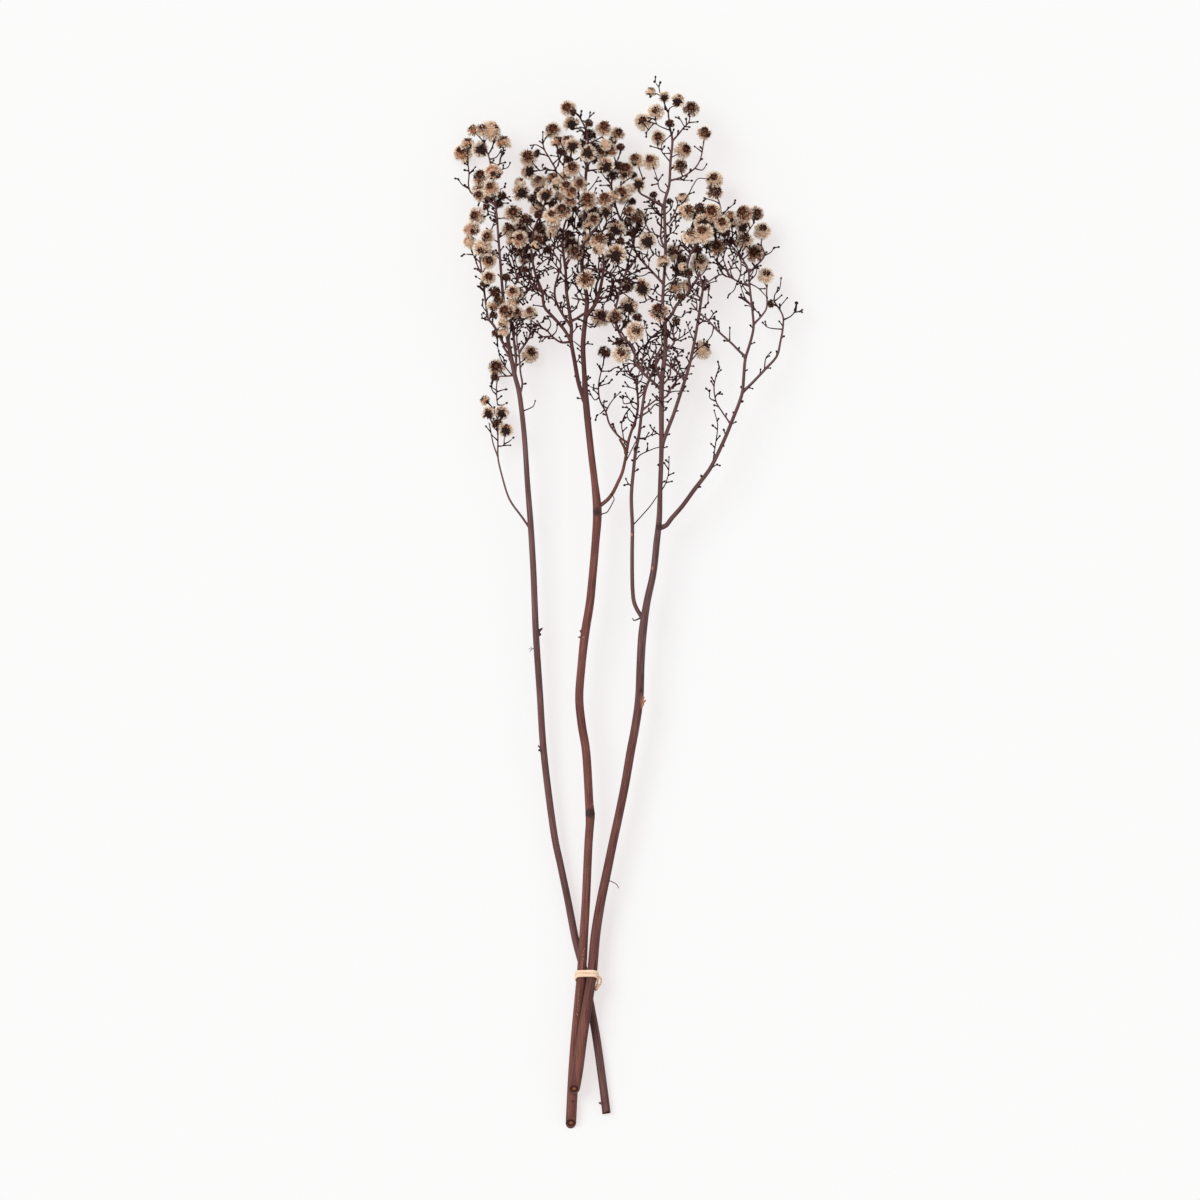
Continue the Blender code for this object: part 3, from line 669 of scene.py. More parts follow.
def head_mesh(kind, chance, florets):
    """A head of radius 1 whose foot is at -Z."""
    made = HEADS[kind]
    shape = bmesh.new()
    layer = shape.loops.layers.uv.new("OFBake")
    core = bmesh.ops.create_icosphere(shape, subdivisions=2, radius=made["core"])
    lay_on_chart(layer, faces_of(core["verts"]), CORE_ROW, {}, BRACT)
    if made["felt"]:  # short down hides the core, except round the foot
        foot = -0.3 * made["core"]
        upper = [face for face in faces_of(core["verts"]) if face.calc_center_median().z > foot]
        down = {corner: FELT for face in upper for corner in face.verts}
        lay_on_chart(layer, upper, FLUFF_ROW, down, FLUFF)
    for count, lean, length in ((7, 1.95, 0.84), (7, 2.35, 0.78), (4, 2.8, 0.66)):
        for index in range(count):
            turn = (index + chance.uniform(-0.25, 0.25)) * math.tau / count
            way = leaning(lean + chance.uniform(-0.12, 0.12), turn)
            add_lobe(shape, layer, way * 0.1, way, length * chance.uniform(0.85, 1.15),
                     made["bracts"] * chance.uniform(0.85, 1.15), BRACT_ROW, BRACT, 4)
    slopes = [(made["crown"], 0.0)] if made["crown"] else []
    for index, floret in enumerate(made["florets"]):
        slopes.append((floret, math.acos(made["high"] - 1.22 * index / len(made["florets"]))))
    for index, (floret, slope) in enumerate(slopes):
        slope += chance.uniform(-0.06, 0.06)
        turn = index * GOLDEN_ANGLE + chance.uniform(-0.2, 0.2)
        way = leaning(slope, turn)
        grown = chance.choice(florets[floret]).copy()
        retone(grown, PALER_OUTSIDE * (slope - 1.1) + chance.uniform(-0.2, 0.2))
        grown.transform(
            point_to(way) @ Matrix.Rotation(chance.uniform(0, math.tau), 4, "Z")
            @ Matrix.Scale(chance.uniform(0.92, 1.1), 4))
        shape.from_mesh(grown)
        bpy.data.meshes.remove(grown)
    return finished_mesh("head_" + kind, shape)


head_chance = random.Random("flower heads")
floret_meshes = {
    kind: [floret_mesh(kind, head_chance) for _ in range(FLORET_VARIANTS)] for kind in FLORETS}
head_meshes = {
    kind: [head_mesh(kind, head_chance, floret_meshes) for _ in range(HEAD_VARIANTS)] for kind in HEADS}


def chart_material(name, roughness, colour):
    """A material that takes its colour from the chart: colour(tree, across, row)."""
    material, tree, shader = new_material(name)
    chart = place_node(tree, "SeparateXYZ", {0: place_node(tree, "UVMap", uv_map="OFBake").outputs["UV"]})
    tree.links.new(colour(tree, chart.outputs["X"], chart.outputs["Y"]), shader.inputs["Base Color"])
    shader.inputs["Roughness"].default_value = roughness
    shader.inputs["Specular IOR Level"].default_value = 0.12
    return material


CREAM = (1.0, 0.90, 0.77)


def fluff_colour(tree, across, row):
    """Silky hair: dark at its root and pale at its tip, from brown to cream by its row."""
    place = place_node(tree, "MapRange", {"Value": row, "From Min": FLUFF_FROM, "From Max": 0.96})
    tone = place.outputs["Result"]
    root = ramp(
        tree, tone, (0.0, (0.020, 0.008, 0.005)), (0.5, (0.25, 0.078, 0.030)), (0.8, (0.49, 0.21, 0.10)),
        (1.0, (0.74, 0.50, 0.34)))
    tip = ramp(
        tree, tone, (0.0, (0.26, 0.13, 0.070)), (0.3, (0.68, 0.28, 0.125)), (0.55, (1.0, 0.56, 0.32)),
        (0.8, (1.0, 0.75, 0.54)), (1.0, (1.0, 0.87, 0.73)))
    along = ramp(tree, across, (0.38, (0, 0, 0)), (0.68, (0.45, 0.45, 0.45)), (0.90, (1, 1, 1)))
    ends = ramp(tree, across, (0.62, (0, 0, 0)), (0.92, (0.9, 0.9, 0.9)))
    return blend_colours(tree, ends, blend_colours(tree, along, root, tip), CREAM)


def husk_colour(tree, across, row):
    """Cups, lobes and styles: near black inside, their own dark brown deepened with painted shade, brown
    outside and tan at the rim.
    """
    root = ramp(
        tree, row, (0.19, (0.010, 0.004, 0.003)), (0.24, (0.115, 0.034, 0.014)),
        (0.32, (0.070, 0.022, 0.012)))
    tip = ramp(
        tree, row, (0.19, (0.02, 0.010, 0.007)), (0.24, (0.07, 0.026, 0.014)),
        (0.28, (0.14, 0.048, 0.022)), (0.33, (0.055, 0.020, 0.011)))
    return blend_colours(tree, across, root, tip)


def bract_colour(tree, across, row):
    """Bracts and core: near black, a little redder at the tips."""
    return ramp(tree, across, (0.0, (0.020, 0.010, 0.010)), (1.0, (0.060, 0.030, 0.023)))


HEAD_MATERIALS = [
    chart_material("silky_fluff", 0.9, fluff_colour), chart_material("brown_husk", 0.75, husk_colour),
    chart_material("dark_bract", 0.7, bract_colour)]
# For each look: the kind of head, how far its face turns up from level (1) or down (-1), and its tone.
LOOKS = {
    "ball": ("full", 0.95, 0.62), "pale": ("downy", 0.75, 0.95), "eyed": ("open", 0.97, 0.60),
    "tuft": ("backed", 0.05, 0.56), "star": ("backed", -0.88, 0.52), "husk": ("husky", 0.2, 0.35),
    "brown": ("open", 0.90, 0.28),
}


def flower_heads(wood, node, tone, *places):
    """One piece for the heads of a CAD node: the place, size and look of each. Their stalks grow too."""
    joined = bmesh.new()
    for x, y, z, size, look in places:
        kind, facing, shade = LOOKS[look]
        centre = Vector((x, y, z))
        behind = wood.nearest(centre - Vector((0.0, size / 2, 0.0)), height_share=0.5)
        outward = (centre - behind).to_2d()
        outward = Vector((*(outward.normalized() if outward.length > 0.5 else Vector((0, 1))), 0.0))
        facing += head_chance.uniform(-0.12, 0.12)
        facing = max(-0.98, min(0.98, facing))
        axis = outward * math.sqrt(1 - facing ** 2) + Vector((0, 0, facing))
        wood.stalk(centre, axis, size)
        grown = head_chance.choice(head_meshes[kind]).copy()
        grown.transform(
            Matrix.Translation(centre * MM) @ point_to(axis)
            @ Matrix.Rotation(head_chance.uniform(0, math.tau), 4, "Z")
            @ Matrix.Scale(size / 2 * SPREAD * MM, 4))
        retone(grown, (shade - 0.5 + head_chance.uniform(-0.1, 0.1)) * 0.5)
        joined.from_mesh(grown)
        bpy.data.meshes.remove(grown)
    for corner in joined.verts:
        corner.co.z = max(corner.co.z, CLEARANCE["fluff"] * MM)
    mesh = finished_mesh(node, joined)
    show(node.replace("head", "flowers"), mesh, HEAD_MATERIALS, node)


# ---------------------------------------------------------------------------------------------
# The left stem, the thinnest and the greyest. It lies lowest, under the other two at the band, and
# its thick end was torn off rather than sawn.
LEFT_END = (-12.2, -337, 3)
LEFT_NUB = (-56.5, -98, 11)
LEFT_STUB = (-55.0, -19, 14)
GREY_BARK = {
    "Pale": (0.26, 0.142, 0.128), "Middle": (0.155, 0.070, 0.066), "Dark": (0.066, 0.027, 0.026),
    "Top": (0.205, 0.108, 0.108), "Top start": -0.05, "Top end": 0.04}
TWIG_BARK = {
    "Pale": (0.092, 0.026, 0.020), "Middle": (0.046, 0.012, 0.010), "Dark": (0.015, 0.004, 0.003),
    "Top": (0.040, 0.011, 0.010)}
left = Wood("left")
left_axis = left.grow("stout", [
    (-12.0, -337.5, 2.85), (-14.4, -318, 3.3), (-18.6, -288, 4.2), (-22.6, -266, 4.9), (-26.4, -245, 5.4),
    (-32.3, -223, 6.2), (-37.6, -196, 7.2), (-42.4, -173, 8.1), (-47, -150, 9.0), (-53.3, -100, 11),
    (-56, -60, 12.5), (-58.6, -20, 14), (-60.2, 20, 15.5), (-62, 51, 17), (-64.2, 80, 18.5),
    (-66.2, 110, 20), (-69.3, 137, 21.5), (-72.5, 150, 22), (-75.5, 165, 23), (-77.5, 177, 23.5),
    (-79, 192, 24.5), (-80.6, 207, 25), (-82, 225, 26), (-83.4, 243, 26.5), (-84.3, 256, 27),
    (-86, 267, 27.5), (-86, 275, 28)],
    [5.7, 5.4, 5.4, 5.3, 5.2, 5.0, 4.7, 4.6, 4.6, 4.5, 4.3, 4.3, 4.1, 4.0, 3.6, 3.4, 3.2, 3.0, 2.8, 2.5,
     2.2, 1.9, 1.7, 1.5, 1.4, 1.2, 1.0])
left_outer = left.branch(left_axis, [
    (-76.3, 167.5), (-80, 171), (-83, 177), (-86.5, 183), (-90, 187.5), (-91, 194), (-92.3, 203),
    (-93, 212), (-94.5, 220), (-95.5, 227)], 24, (2.0, 1.1))
left_low = left.branch(left_axis, [
    (-61.8, 49), (-68, 57), (-74, 65), (-77.5, 72), (-81, 84), (-83.5, 95), (-83.7, 105), (-83.5, 113),
    (-82, 121)], 13, (1.5, 0.9))
left.branch(left_low, [(-83.5, 96), (-86.5, 104), (-88, 111), (-89.5, 119)], 10, (1.0, 0.8))
left.branch(left_axis, [
    (-72.3, 149), (-78, 149.5), (-83, 149), (-84.5, 144), (-84.5, 136), (-84, 131)], 9, (1.1, 0.8))
left_middle = left.branch(left_axis, [
    (-72.2, 149), (-71.6, 160), (-72.5, 170), (-74, 180), (-75, 190), (-74.5, 199), (-72, 210),
    (-70, 214)], 24, (1.8, 1.2))
left_inner = left.branch(left_axis, [
    (-69.3, 137), (-67.5, 144), (-68.7, 152), (-69.5, 163), (-71, 172), (-71, 186)], 30, (1.5, 0.9))
left.branch(left_inner, [(-69.8, 165), (-66, 170), (-63, 175), (-62, 180), (-61.7, 184)], 24, (1.6, 0.9))
left.branch(left_middle, [(-70.5, 212), (-68, 219), (-66.5, 226), (-66, 236), (-66, 244)], 27, (1.4, 0.9))
left.branch(left_middle, [(-70.5, 212.5), (-72.5, 221), (-74.5, 229), (-76.3, 237)], 22, (1.2, 0.8))
left.branch(left_axis, [
    (-85.2, 262), (-91, 266), (-96, 267.5), (-101, 270), (-103, 275), (-102.7, 283), (-103.5, 290)],
    12, (1.5, 0.9))
left_upper = left.branch(left_axis, [
    (-86, 274), (-87.8, 284), (-89, 292), (-91, 298), (-92.5, 303)], 26, (1.3, 0.8))
left.branch(left_upper, [(-87.6, 284), (-82.8, 288.5), (-81.5, 294), (-81, 297)], 27, (1.0, 0.8))
left.branch(left_outer, [(-94, 217), (-97, 222), (-99, 228), (-101, 232)], 15, (1.0, 0.8))
for width, *plan in [
    (2.0, (-75.5, 160), (-77.5, 165), (-80.5, 169.5)),
    (1.3, (-75, 164), (-76.3, 173), (-75.2, 180), (-76, 187)),
    (1.3, (-72.3, 162), (-73.2, 172), (-72.5, 178), (-73.5, 184)),
    (0.9, (-73, 200), (-69, 199.5), (-66, 200.5), (-64.8, 201.8)),
]:
    left.limb(width, *plan)
for plan in [
    [(-65, 172), (-66, 176)], [(-63.5, 174), (-66, 175.5), (-66.5, 178)], [(-66.5, 170), (-68, 172.2)],
    [(-62.5, 178), (-64.5, 181.5), (-63.5, 183)], [(-62.5, 177), (-60.3, 177.5)],
    [(-62, 181), (-64, 182.5)], [(-70, 183.8), (-67, 183.4)], [(-71.5, 184), (-73.5, 187.5)],
    [(-67.5, 184), (-68, 187)], [(-91, 188), (-93.5, 187.5), (-94.2, 190)], [(-92.5, 189), (-91.8, 186.8)],
    [(-67, 200), (-66, 197.2)], [(-66.5, 200.3), (-64.2, 198)],
    [(-65.5, 126), (-62, 128.5), (-60, 130), (-59, 133)], [(-88, 113), (-91.5, 116.5)],
    [(-83, 104), (-80, 104), (-79.5, 108), (-78.8, 111)], [(-79.5, 104), (-75.5, 104)],
    [(-79.5, 105.5), (-77, 106), (-73.5, 109)], [(-84.5, 139), (-81, 140.5), (-78.3, 141)],
    [(-84, 134), (-81.5, 136.5)], [(-84.3, 131.5), (-81, 130.5), (-78, 132)],
    [(-74, 151), (-79, 156), (-82.5, 163), (-84, 171)], [(-79, 156.5), (-80, 161.5)],
    [(-79, 156), (-78, 159.5)], [(-82.3, 163), (-83, 166)], [(-67.5, 144), (-65.5, 144.5)],
    [(-66, 170), (-64.5, 174), (-64.5, 178)], [(-63, 175), (-61, 178.5)], [(-62, 180), (-60, 183)],
    [(-71, 176), (-68.8, 179)], [(-74.3, 180), (-75, 183)], [(-71, 180), (-70, 183.5)],
    [(-70, 180), (-67, 183.7)], [(-90.5, 186), (-94, 187.5)], [(-91, 189), (-93, 191)],
    [(-93, 205), (-96.5, 208.5)], [(-93.5, 212), (-98, 215)], [(-95, 216.5), (-97, 219.5)],
    [(-97, 224), (-99, 228)], [(-101, 229), (-104, 230), (-106, 230)], [(-84, 251), (-88.5, 253.5)],
    [(-83.5, 255), (-90, 258), (-91, 260)], [(-82.5, 252.5), (-79, 253.5)],
    [(-84, 263), (-81, 263), (-77, 263)], [(-103, 272), (-107, 275.5), (-109.5, 279)],
    [(-102.8, 284), (-105.5, 285.5)], [(-102.5, 283), (-98.5, 287.5)], [(-95, 263.5), (-96.5, 262)],
    [(-103.3, 288), (-105.5, 290)], [(-86.2, 279), (-84, 283), (-80, 285.5), (-77, 286.5), (-75.5, 289.5)],
    [(-80, 285.5), (-80, 288)], [(-90.5, 295), (-87, 299.5)], [(-88, 292.5), (-84.5, 293.5), (-81.5, 298)],
    [(-88, 291), (-83, 288.5), (-82, 293), (-79.5, 296)], [(-84, 253), (-88, 255.5), (-90, 256)],
    [(-84.3, 251), (-88, 252), (-88.5, 254)], [(-72.7, 221), (-75, 219.3)], [(-76, 231), (-78, 234.5)],
    [(-68, 206), (-64.5, 209), (-63, 213)], [(-67, 212), (-63.5, 216), (-62, 220)],
    [(-83.5, 240), (-79, 243), (-76.5, 247.5)], [(-83, 236), (-87, 240), (-88.5, 245)],
    [(-83, 231), (-80, 234.5)], [(-85, 262), (-80.5, 266), (-76, 267.5)],
    [(-86, 268), (-82, 272), (-79, 273.5)], [(-82.5, 266), (-79.5, 269.5)],
    [(-85, 258), (-89.5, 262.5), (-93, 264)], [(-67, 236), (-70.5, 240), (-71.5, 244.5)],
    [(-66.5, 240), (-62.5, 243.5)], [(-83.7, 113), (-87, 117), (-86.5, 121.5)],
    [(-83.5, 108), (-87.5, 110.5)], [(-82, 120), (-85.5, 124.5), (-86, 129)],
    [(-84.5, 137), (-87.5, 140.5), (-88, 145)], [(-83, 147), (-86.5, 150), (-87, 154)],
    [(-84.3, 140), (-88.5, 143)], [(-78, 149.5), (-81, 152.5), (-82, 156.5)],
]:
    left.twig(plan)
left.bud_out(lambda point: 172 < point.y < 262 and point.x > -90, 11.0, 0.6, 14)
left.bud_out(lambda point: point.y > 150, 8.0, 0.12, 8)
left.stub(LEFT_NUB, (-1, 0.7, 0.3), 4.6, 1.6)
left.stub(LEFT_NUB, (-1, -0.2, 0.3), 3.6, 2.2)
left.stub((-13, -330.5, 2.9), (-1, 0.2, 0.3), 4.6, 2.0)
left.stub(LEFT_STUB, (1, 0.8, 0.2), 5.6, 1.9)
left.stub(LEFT_STUB, (1, -0.3, 0.1), 3.5, 3.0)
for end in ((-63.5, -30.2), (-62.8, -32.3), (-62.2, -28.6)):
    left.twig([(-58.8, -28), (-60.8, -30.2), end], bud=False, width=0.36)
LEFT_MARKS = [
    (LEFT_NUB, (3.5, 4, 4), NODE_DARK), (LEFT_STUB, (3, 4, 4), NODE_DARK),
    ((-12, -338, 3), (4, 2.6, 4), (0.20, 0.085, 0.045)), ((-37.6, -217, 8), (1.4, 1.2, 2), PALE_FLECK)]
for node, tone, *places in [
    ("head_left_01", "tan", (-88.5, 310.5, 26, 13, "pale"), (-85.5, 306.5, 21, 9, "tuft"),
     (-99, 311, 24, 9, "tuft"), (-93.5, 311.5, 28, 8, "eyed")),
    ("head_left_02", "brown", (-80, 302.5, 31, 10, "tuft")),
    ("head_left_03", "tan", (-107.5, 297, 5.9, 11.6, "ball"), (-103.5, 302.5, 14, 9, "tuft"),
     (-95, 299, 20, 10, "star")),
    ("head_left_04", "tan", (-86.3, 282.5, 38, 11, "pale"), (-95.5, 280.5, 20, 10, "brown"),
     (-96, 272, 14, 9, "tuft"), (-88, 272, 36, 10, "ball"), (-96, 268, 30, 8, "eyed"),
     (-89, 268, 18, 9, "brown")),
    ("head_left_05", "tan", (-97.5, 255, 22, 10.5, "ball"), (-91, 260.5, 30, 5.5, "husk")),
    ("head_left_06", "brown", (-74, 256.5, 26, 11.5, "eyed"), (-65, 252, 20, 9, "husk"),
     (-82, 268, 24, 8, "husk"), (-83.5, 262.5, 22, 7, "husk")),
    ("head_left_07", "cream", (-102, 237.5, 18, 9, "pale"), (-101, 245.5, 20, 10, "pale")),
    ("head_left_08", "cream", (-94, 233, 27, 12, "pale"), (-90, 228, 20, 11, "ball"),
     (-89.5, 224.5, 33, 9.5, "eyed"), (-90, 241, 34, 9, "eyed")),
    ("head_left_09", "tan", (-89.5, 214, 35, 9, "ball"), (-92, 209.5, 28, 7, "husk"),
     (-78, 213.5, 30, 6.5, "husk"), (-86, 204, 32, 9, "husk"), (-83, 198.5, 27, 7.5, "brown")),
    ("head_left_10", "tan", (-75.5, 245.5, 16, 10, "ball"), (-68, 245, 18, 10, "eyed"),
     (-66, 252, 27, 8, "brown"), (-74, 238, 28, 8, "tuft"), (-69, 239, 34, 10, "ball"),
     (-68.5, 230.5, 26, 9, "husk"), (-66.5, 225.5, 22, 7, "tuft"), (-68.5, 247.5, 12, 8.5, "pale"),
     (-71, 232.5, 22, 8, "husk"), (-66.5, 219.5, 22, 7, "husk"), (-63, 227, 20, 8, "husk"),
     (-62, 241, 22, 8, "husk")),
    ("head_left_11", "tan", (-78, 191.5, 36, 10, "eyed"), (-86, 195, 28, 8.5, "tuft"),
     (-86.5, 189, 24, 6.5, "husk"), (-80, 184, 30, 7.5, "pale"), (-80, 178, 28, 6, "pale"),
     (-84, 177, 22, 7.5, "husk"), (-74, 204.5, 33, 8.5, "ball"), (-70, 203.5, 25, 8, "tuft")),
    ("head_left_12", "tan", (-62.5, 164.5, 5.6, 11, "ball"), (-62.5, 191, 28, 9, "ball"),
     (-71, 191, 24, 8, "ball"), (-73.5, 197, 26, 8.5, "pale")),
    ("head_left_13", "tan", (-85, 155.5, 5.4, 10.6, "eyed"), (-92, 133.5, 12, 7, "tuft"),
     (-86, 148.5, 11, 6.5, "husk")),
    ("head_left_14", "dark", (-81, 125.5, 15, 9, "star"), (-78.5, 114, 17, 9, "star"),
     (-84.5, 118, 14, 8, "husk")),
    ("head_left_15", "dark", (-90, 125, 12, 8.6, "star")),
]:
    flower_heads(left, node, tone, *places)
show(
    "left_stem", left.mesh(saw_cut(LEFT_END, (0.22, -0.85, 0.35), 1.1)),
    [bark("left_bark", GREY_BARK, LEFT_MARKS), cut_wood("left_cut_wood", LEFT_END, 2.9),
     bark("left_twigs", TWIG_BARK, [])], "stem_left")

# ---------------------------------------------------------------------------------------------
# The centre stem, a warm red-brown, with a dark swollen node half-way up. It rests on the left one
# at the band and on the surface at its own slanting cut, where the pale wood shows.
CENTRE_CUT = (-35.5, -343.5, 3.8)
CUT_FACING = (0.0, -0.68, 0.73)
centre = Wood("centre")
centre_axis = centre.grow("stout", [
    (-35.9, -351, 3.42), (-34.3, -318, 5.5), (-33.1, -298, 7.1), (-31.6, -278, 8.8), (-28.6, -245, 11.6),
    (-26.9, -217, 13), (-25.6, -196, 14), (-24.0, -160, 15.5), (-23.0, -146, 16.1), (-22.8, -139, 16.4),
    (-23.4, -132, 16.7), (-25.4, -99, 18), (-28.4, -80, 18.7), (-30, -62, 19.2), (-28.4, -40, 20),
    (-26.2, -20, 20.8), (-23, 0, 21.5), (-21, 20, 22), (-19.3, 40, 22.6), (-18.1, 60, 23.2),
    (-19.9, 80, 23.8), (-22.3, 100, 24.5), (-25.4, 130, 25.5), (-26.6, 150, 26), (-27.5, 170, 27),
    (-25.7, 189, 28), (-24.8, 200, 28.5), (-27.5, 214, 29), (-28.2, 224, 29.5), (-26.6, 240, 30),
    (-26.2, 256, 30.5), (-26, 275, 31), (-24.8, 292, 31.5), (-24, 302, 32), (-26, 312, 32),
    (-28.3, 317, 32), (-30.5, 321, 32)],
    [7.0, 7.0, 6.8, 6.4, 6.2, 5.8, 5.6, 5.5, 5.6, 6.4, 5.6, 5.6, 5.6, 5.5, 5.4, 5.8, 5.6, 5.3, 5.3, 6.0, 4.6,
     4.4, 4.4, 3.2, 3.3, 2.9, 2.8, 2.5, 2.4, 2.2, 2.1, 1.9, 1.8, 1.7, 1.2, 1.0, 0.8])
centre_left = centre.branch(centre_axis, [
    (-25.4, 130), (-30.2, 144), (-33.2, 160), (-35.3, 172), (-35.2, 182), (-37, 195), (-38.6, 207),
    (-38.9, 218), (-40.4, 230), (-41, 238), (-39.8, 248), (-36.5, 256)], 34, (3.0, 1.2))
centre.branch(centre_left, [
    (-35.3, 172), (-40, 180), (-47.5, 188.5), (-53, 195), (-54.5, 205), (-59, 217), (-61.3, 230),
    (-61, 240), (-58, 250), (-54, 259), (-51, 268)], 32, (2.2, 1.2))
centre.branch(centre_left, [
    (-35.3, 171.5), (-42, 171.5), (-48, 175.5), (-51, 179), (-56, 181)], 34, (1.6, 0.9))
centre.branch(centre_left, [
    (-35.2, 182), (-41, 190), (-45.5, 199), (-46, 207), (-44, 215), (-42, 222), (-46, 229),
    (-50, 236)], 41, (1.9, 0.9))
centre.branch(centre_left, [
    (-38.9, 222), (-34, 229.5), (-27, 236), (-21, 243), (-17.5, 248)], 44, (1.9, 1.0))
centre.branch(centre_left, [(-36, 185), (-32, 187), (-29, 189), (-25.7, 191)], 28, (1.6, 1.8))
centre_right = centre.branch(centre_axis, [
    (-25.4, 190), (-20.5, 195), (-17.8, 201), (-15.3, 211), (-13.9, 221), (-14.5, 230)], 33, (2.7, 1.6))
centre.branch(centre_right, [
    (-14.2, 221), (-8, 231), (-3, 240), (-2.5, 250), (-5, 258), (-8, 268), (-9, 275), (-12, 280)],
    24, (1.6, 1.2))
centre.branch(centre_left, [
    (-40.4, 243), (-47, 252), (-49.5, 262), (-49, 272), (-45, 283), (-49, 292), (-53, 299),
    (-54.5, 306)], 15, (1.5, 0.9))
centre.branch(centre_left, [
    (-36.5, 256), (-38, 266), (-40, 280), (-40, 290), (-39.5, 297)], 35, (1.2, 0.8))
centre_reach = centre.branch(centre_axis, [
    (-17.9, 62), (-12, 67.5), (-8, 72.5), (-4.5, 79.5), (-1.5, 86.5), (0.8, 97), (2.5, 107),
    (5, 115), (7.5, 122), (8.8, 131), (8.0, 142)], 15, (2.6, 1.4))
centre.branch(centre_reach, [
    (1.8, 105), (-3, 109), (-7.5, 114), (-10.5, 119), (-12.5, 126), (-16.5, 134), (-17.3, 143),
    (-16, 151), (-14, 158)], 10, (1.5, 0.8))
centre.branch(centre_axis, [(-24, 302), (-19, 304.5), (-15, 306.5)], 30, (1.1, 0.8))
centre.branch(centre_axis, [(-25.2, 284), (-20, 285), (-16, 285.5)], 27, (1.2, 0.9))
for width, *plan in [
    (1.3, (-12.3, 219.5), (-9, 216.3), (-6, 213), (-3.4, 209.3)),
    (1.7, (-21, 200), (-19, 208), (-17.3, 213), (-16.5, 217), (-17.3, 220)),
    (1.5, (-14, 219), (-18, 219.4), (-22, 219.6), (-25, 220.2), (-28, 221.2)),
    (1.3, (-17, 201), (-13, 200.8), (-9, 202.3), (-5, 202.4), (0.5, 204.5)),
    (1.0, (-18.5, 198), (-13, 198), (-9.5, 199.8), (-8.7, 202)),
    (0.9, (-17.3, 220), (-17, 226), (-16.3, 231)), (1.2, (-25, 199.5), (-30, 199.6), (-35, 200.8)),
    (0.9, (-30, 199.6), (-31.3, 196), (-31.6, 193.5)),
    (1.1, (-4, 236), (1, 237), (4.8, 239.6), (9, 242), (12.5, 243.5)),
    (1.5, (8, 140), (7.4, 145.5), (4.7, 150), (2.5, 153.5), (1.5, 157)),
    (1.0, (7.8, 143.5), (8.8, 149), (9.8, 153)), (2.2, (1, 98), (-0.5, 103), (-3.5, 108)),
    (1.5, (-54.6, 204.8), (-58, 207.3), (-61.5, 210.5), (-64, 215), (-66, 219)),
    (0.9, (-57.5, 207.3), (-62, 206.3), (-65.3, 206)),
    (0.9, (-58.5, 207.8), (-60.5, 212.5), (-61.5, 217), (-61, 221)),
    (0.8, (-56.5, 206.5), (-58, 212), (-58.5, 216.5)), (1.2, (-54.3, 204.2), (-51, 202), (-47.5, 201)),
    (0.9, (-54.4, 204.6), (-52, 206.5), (-49, 207.6)), (1.2, (-40.4, 230), (-44, 233), (-47.5, 236.5)),
    (1.2, (-26, 240), (-22.5, 243.5), (-18, 248), (-15, 251.5)),
    (1.0, (-47.8, 228.5), (-52, 225.5), (-56, 222), (-58.5, 219)),
    (1.0, (-48, 175.3), (-53, 175), (-57.5, 177.5), (-61, 179.3)),
    (1.1, (-51, 179), (-55, 181.5), (-59, 184), (-61.5, 186)),
]:
    centre.limb(width, *plan)
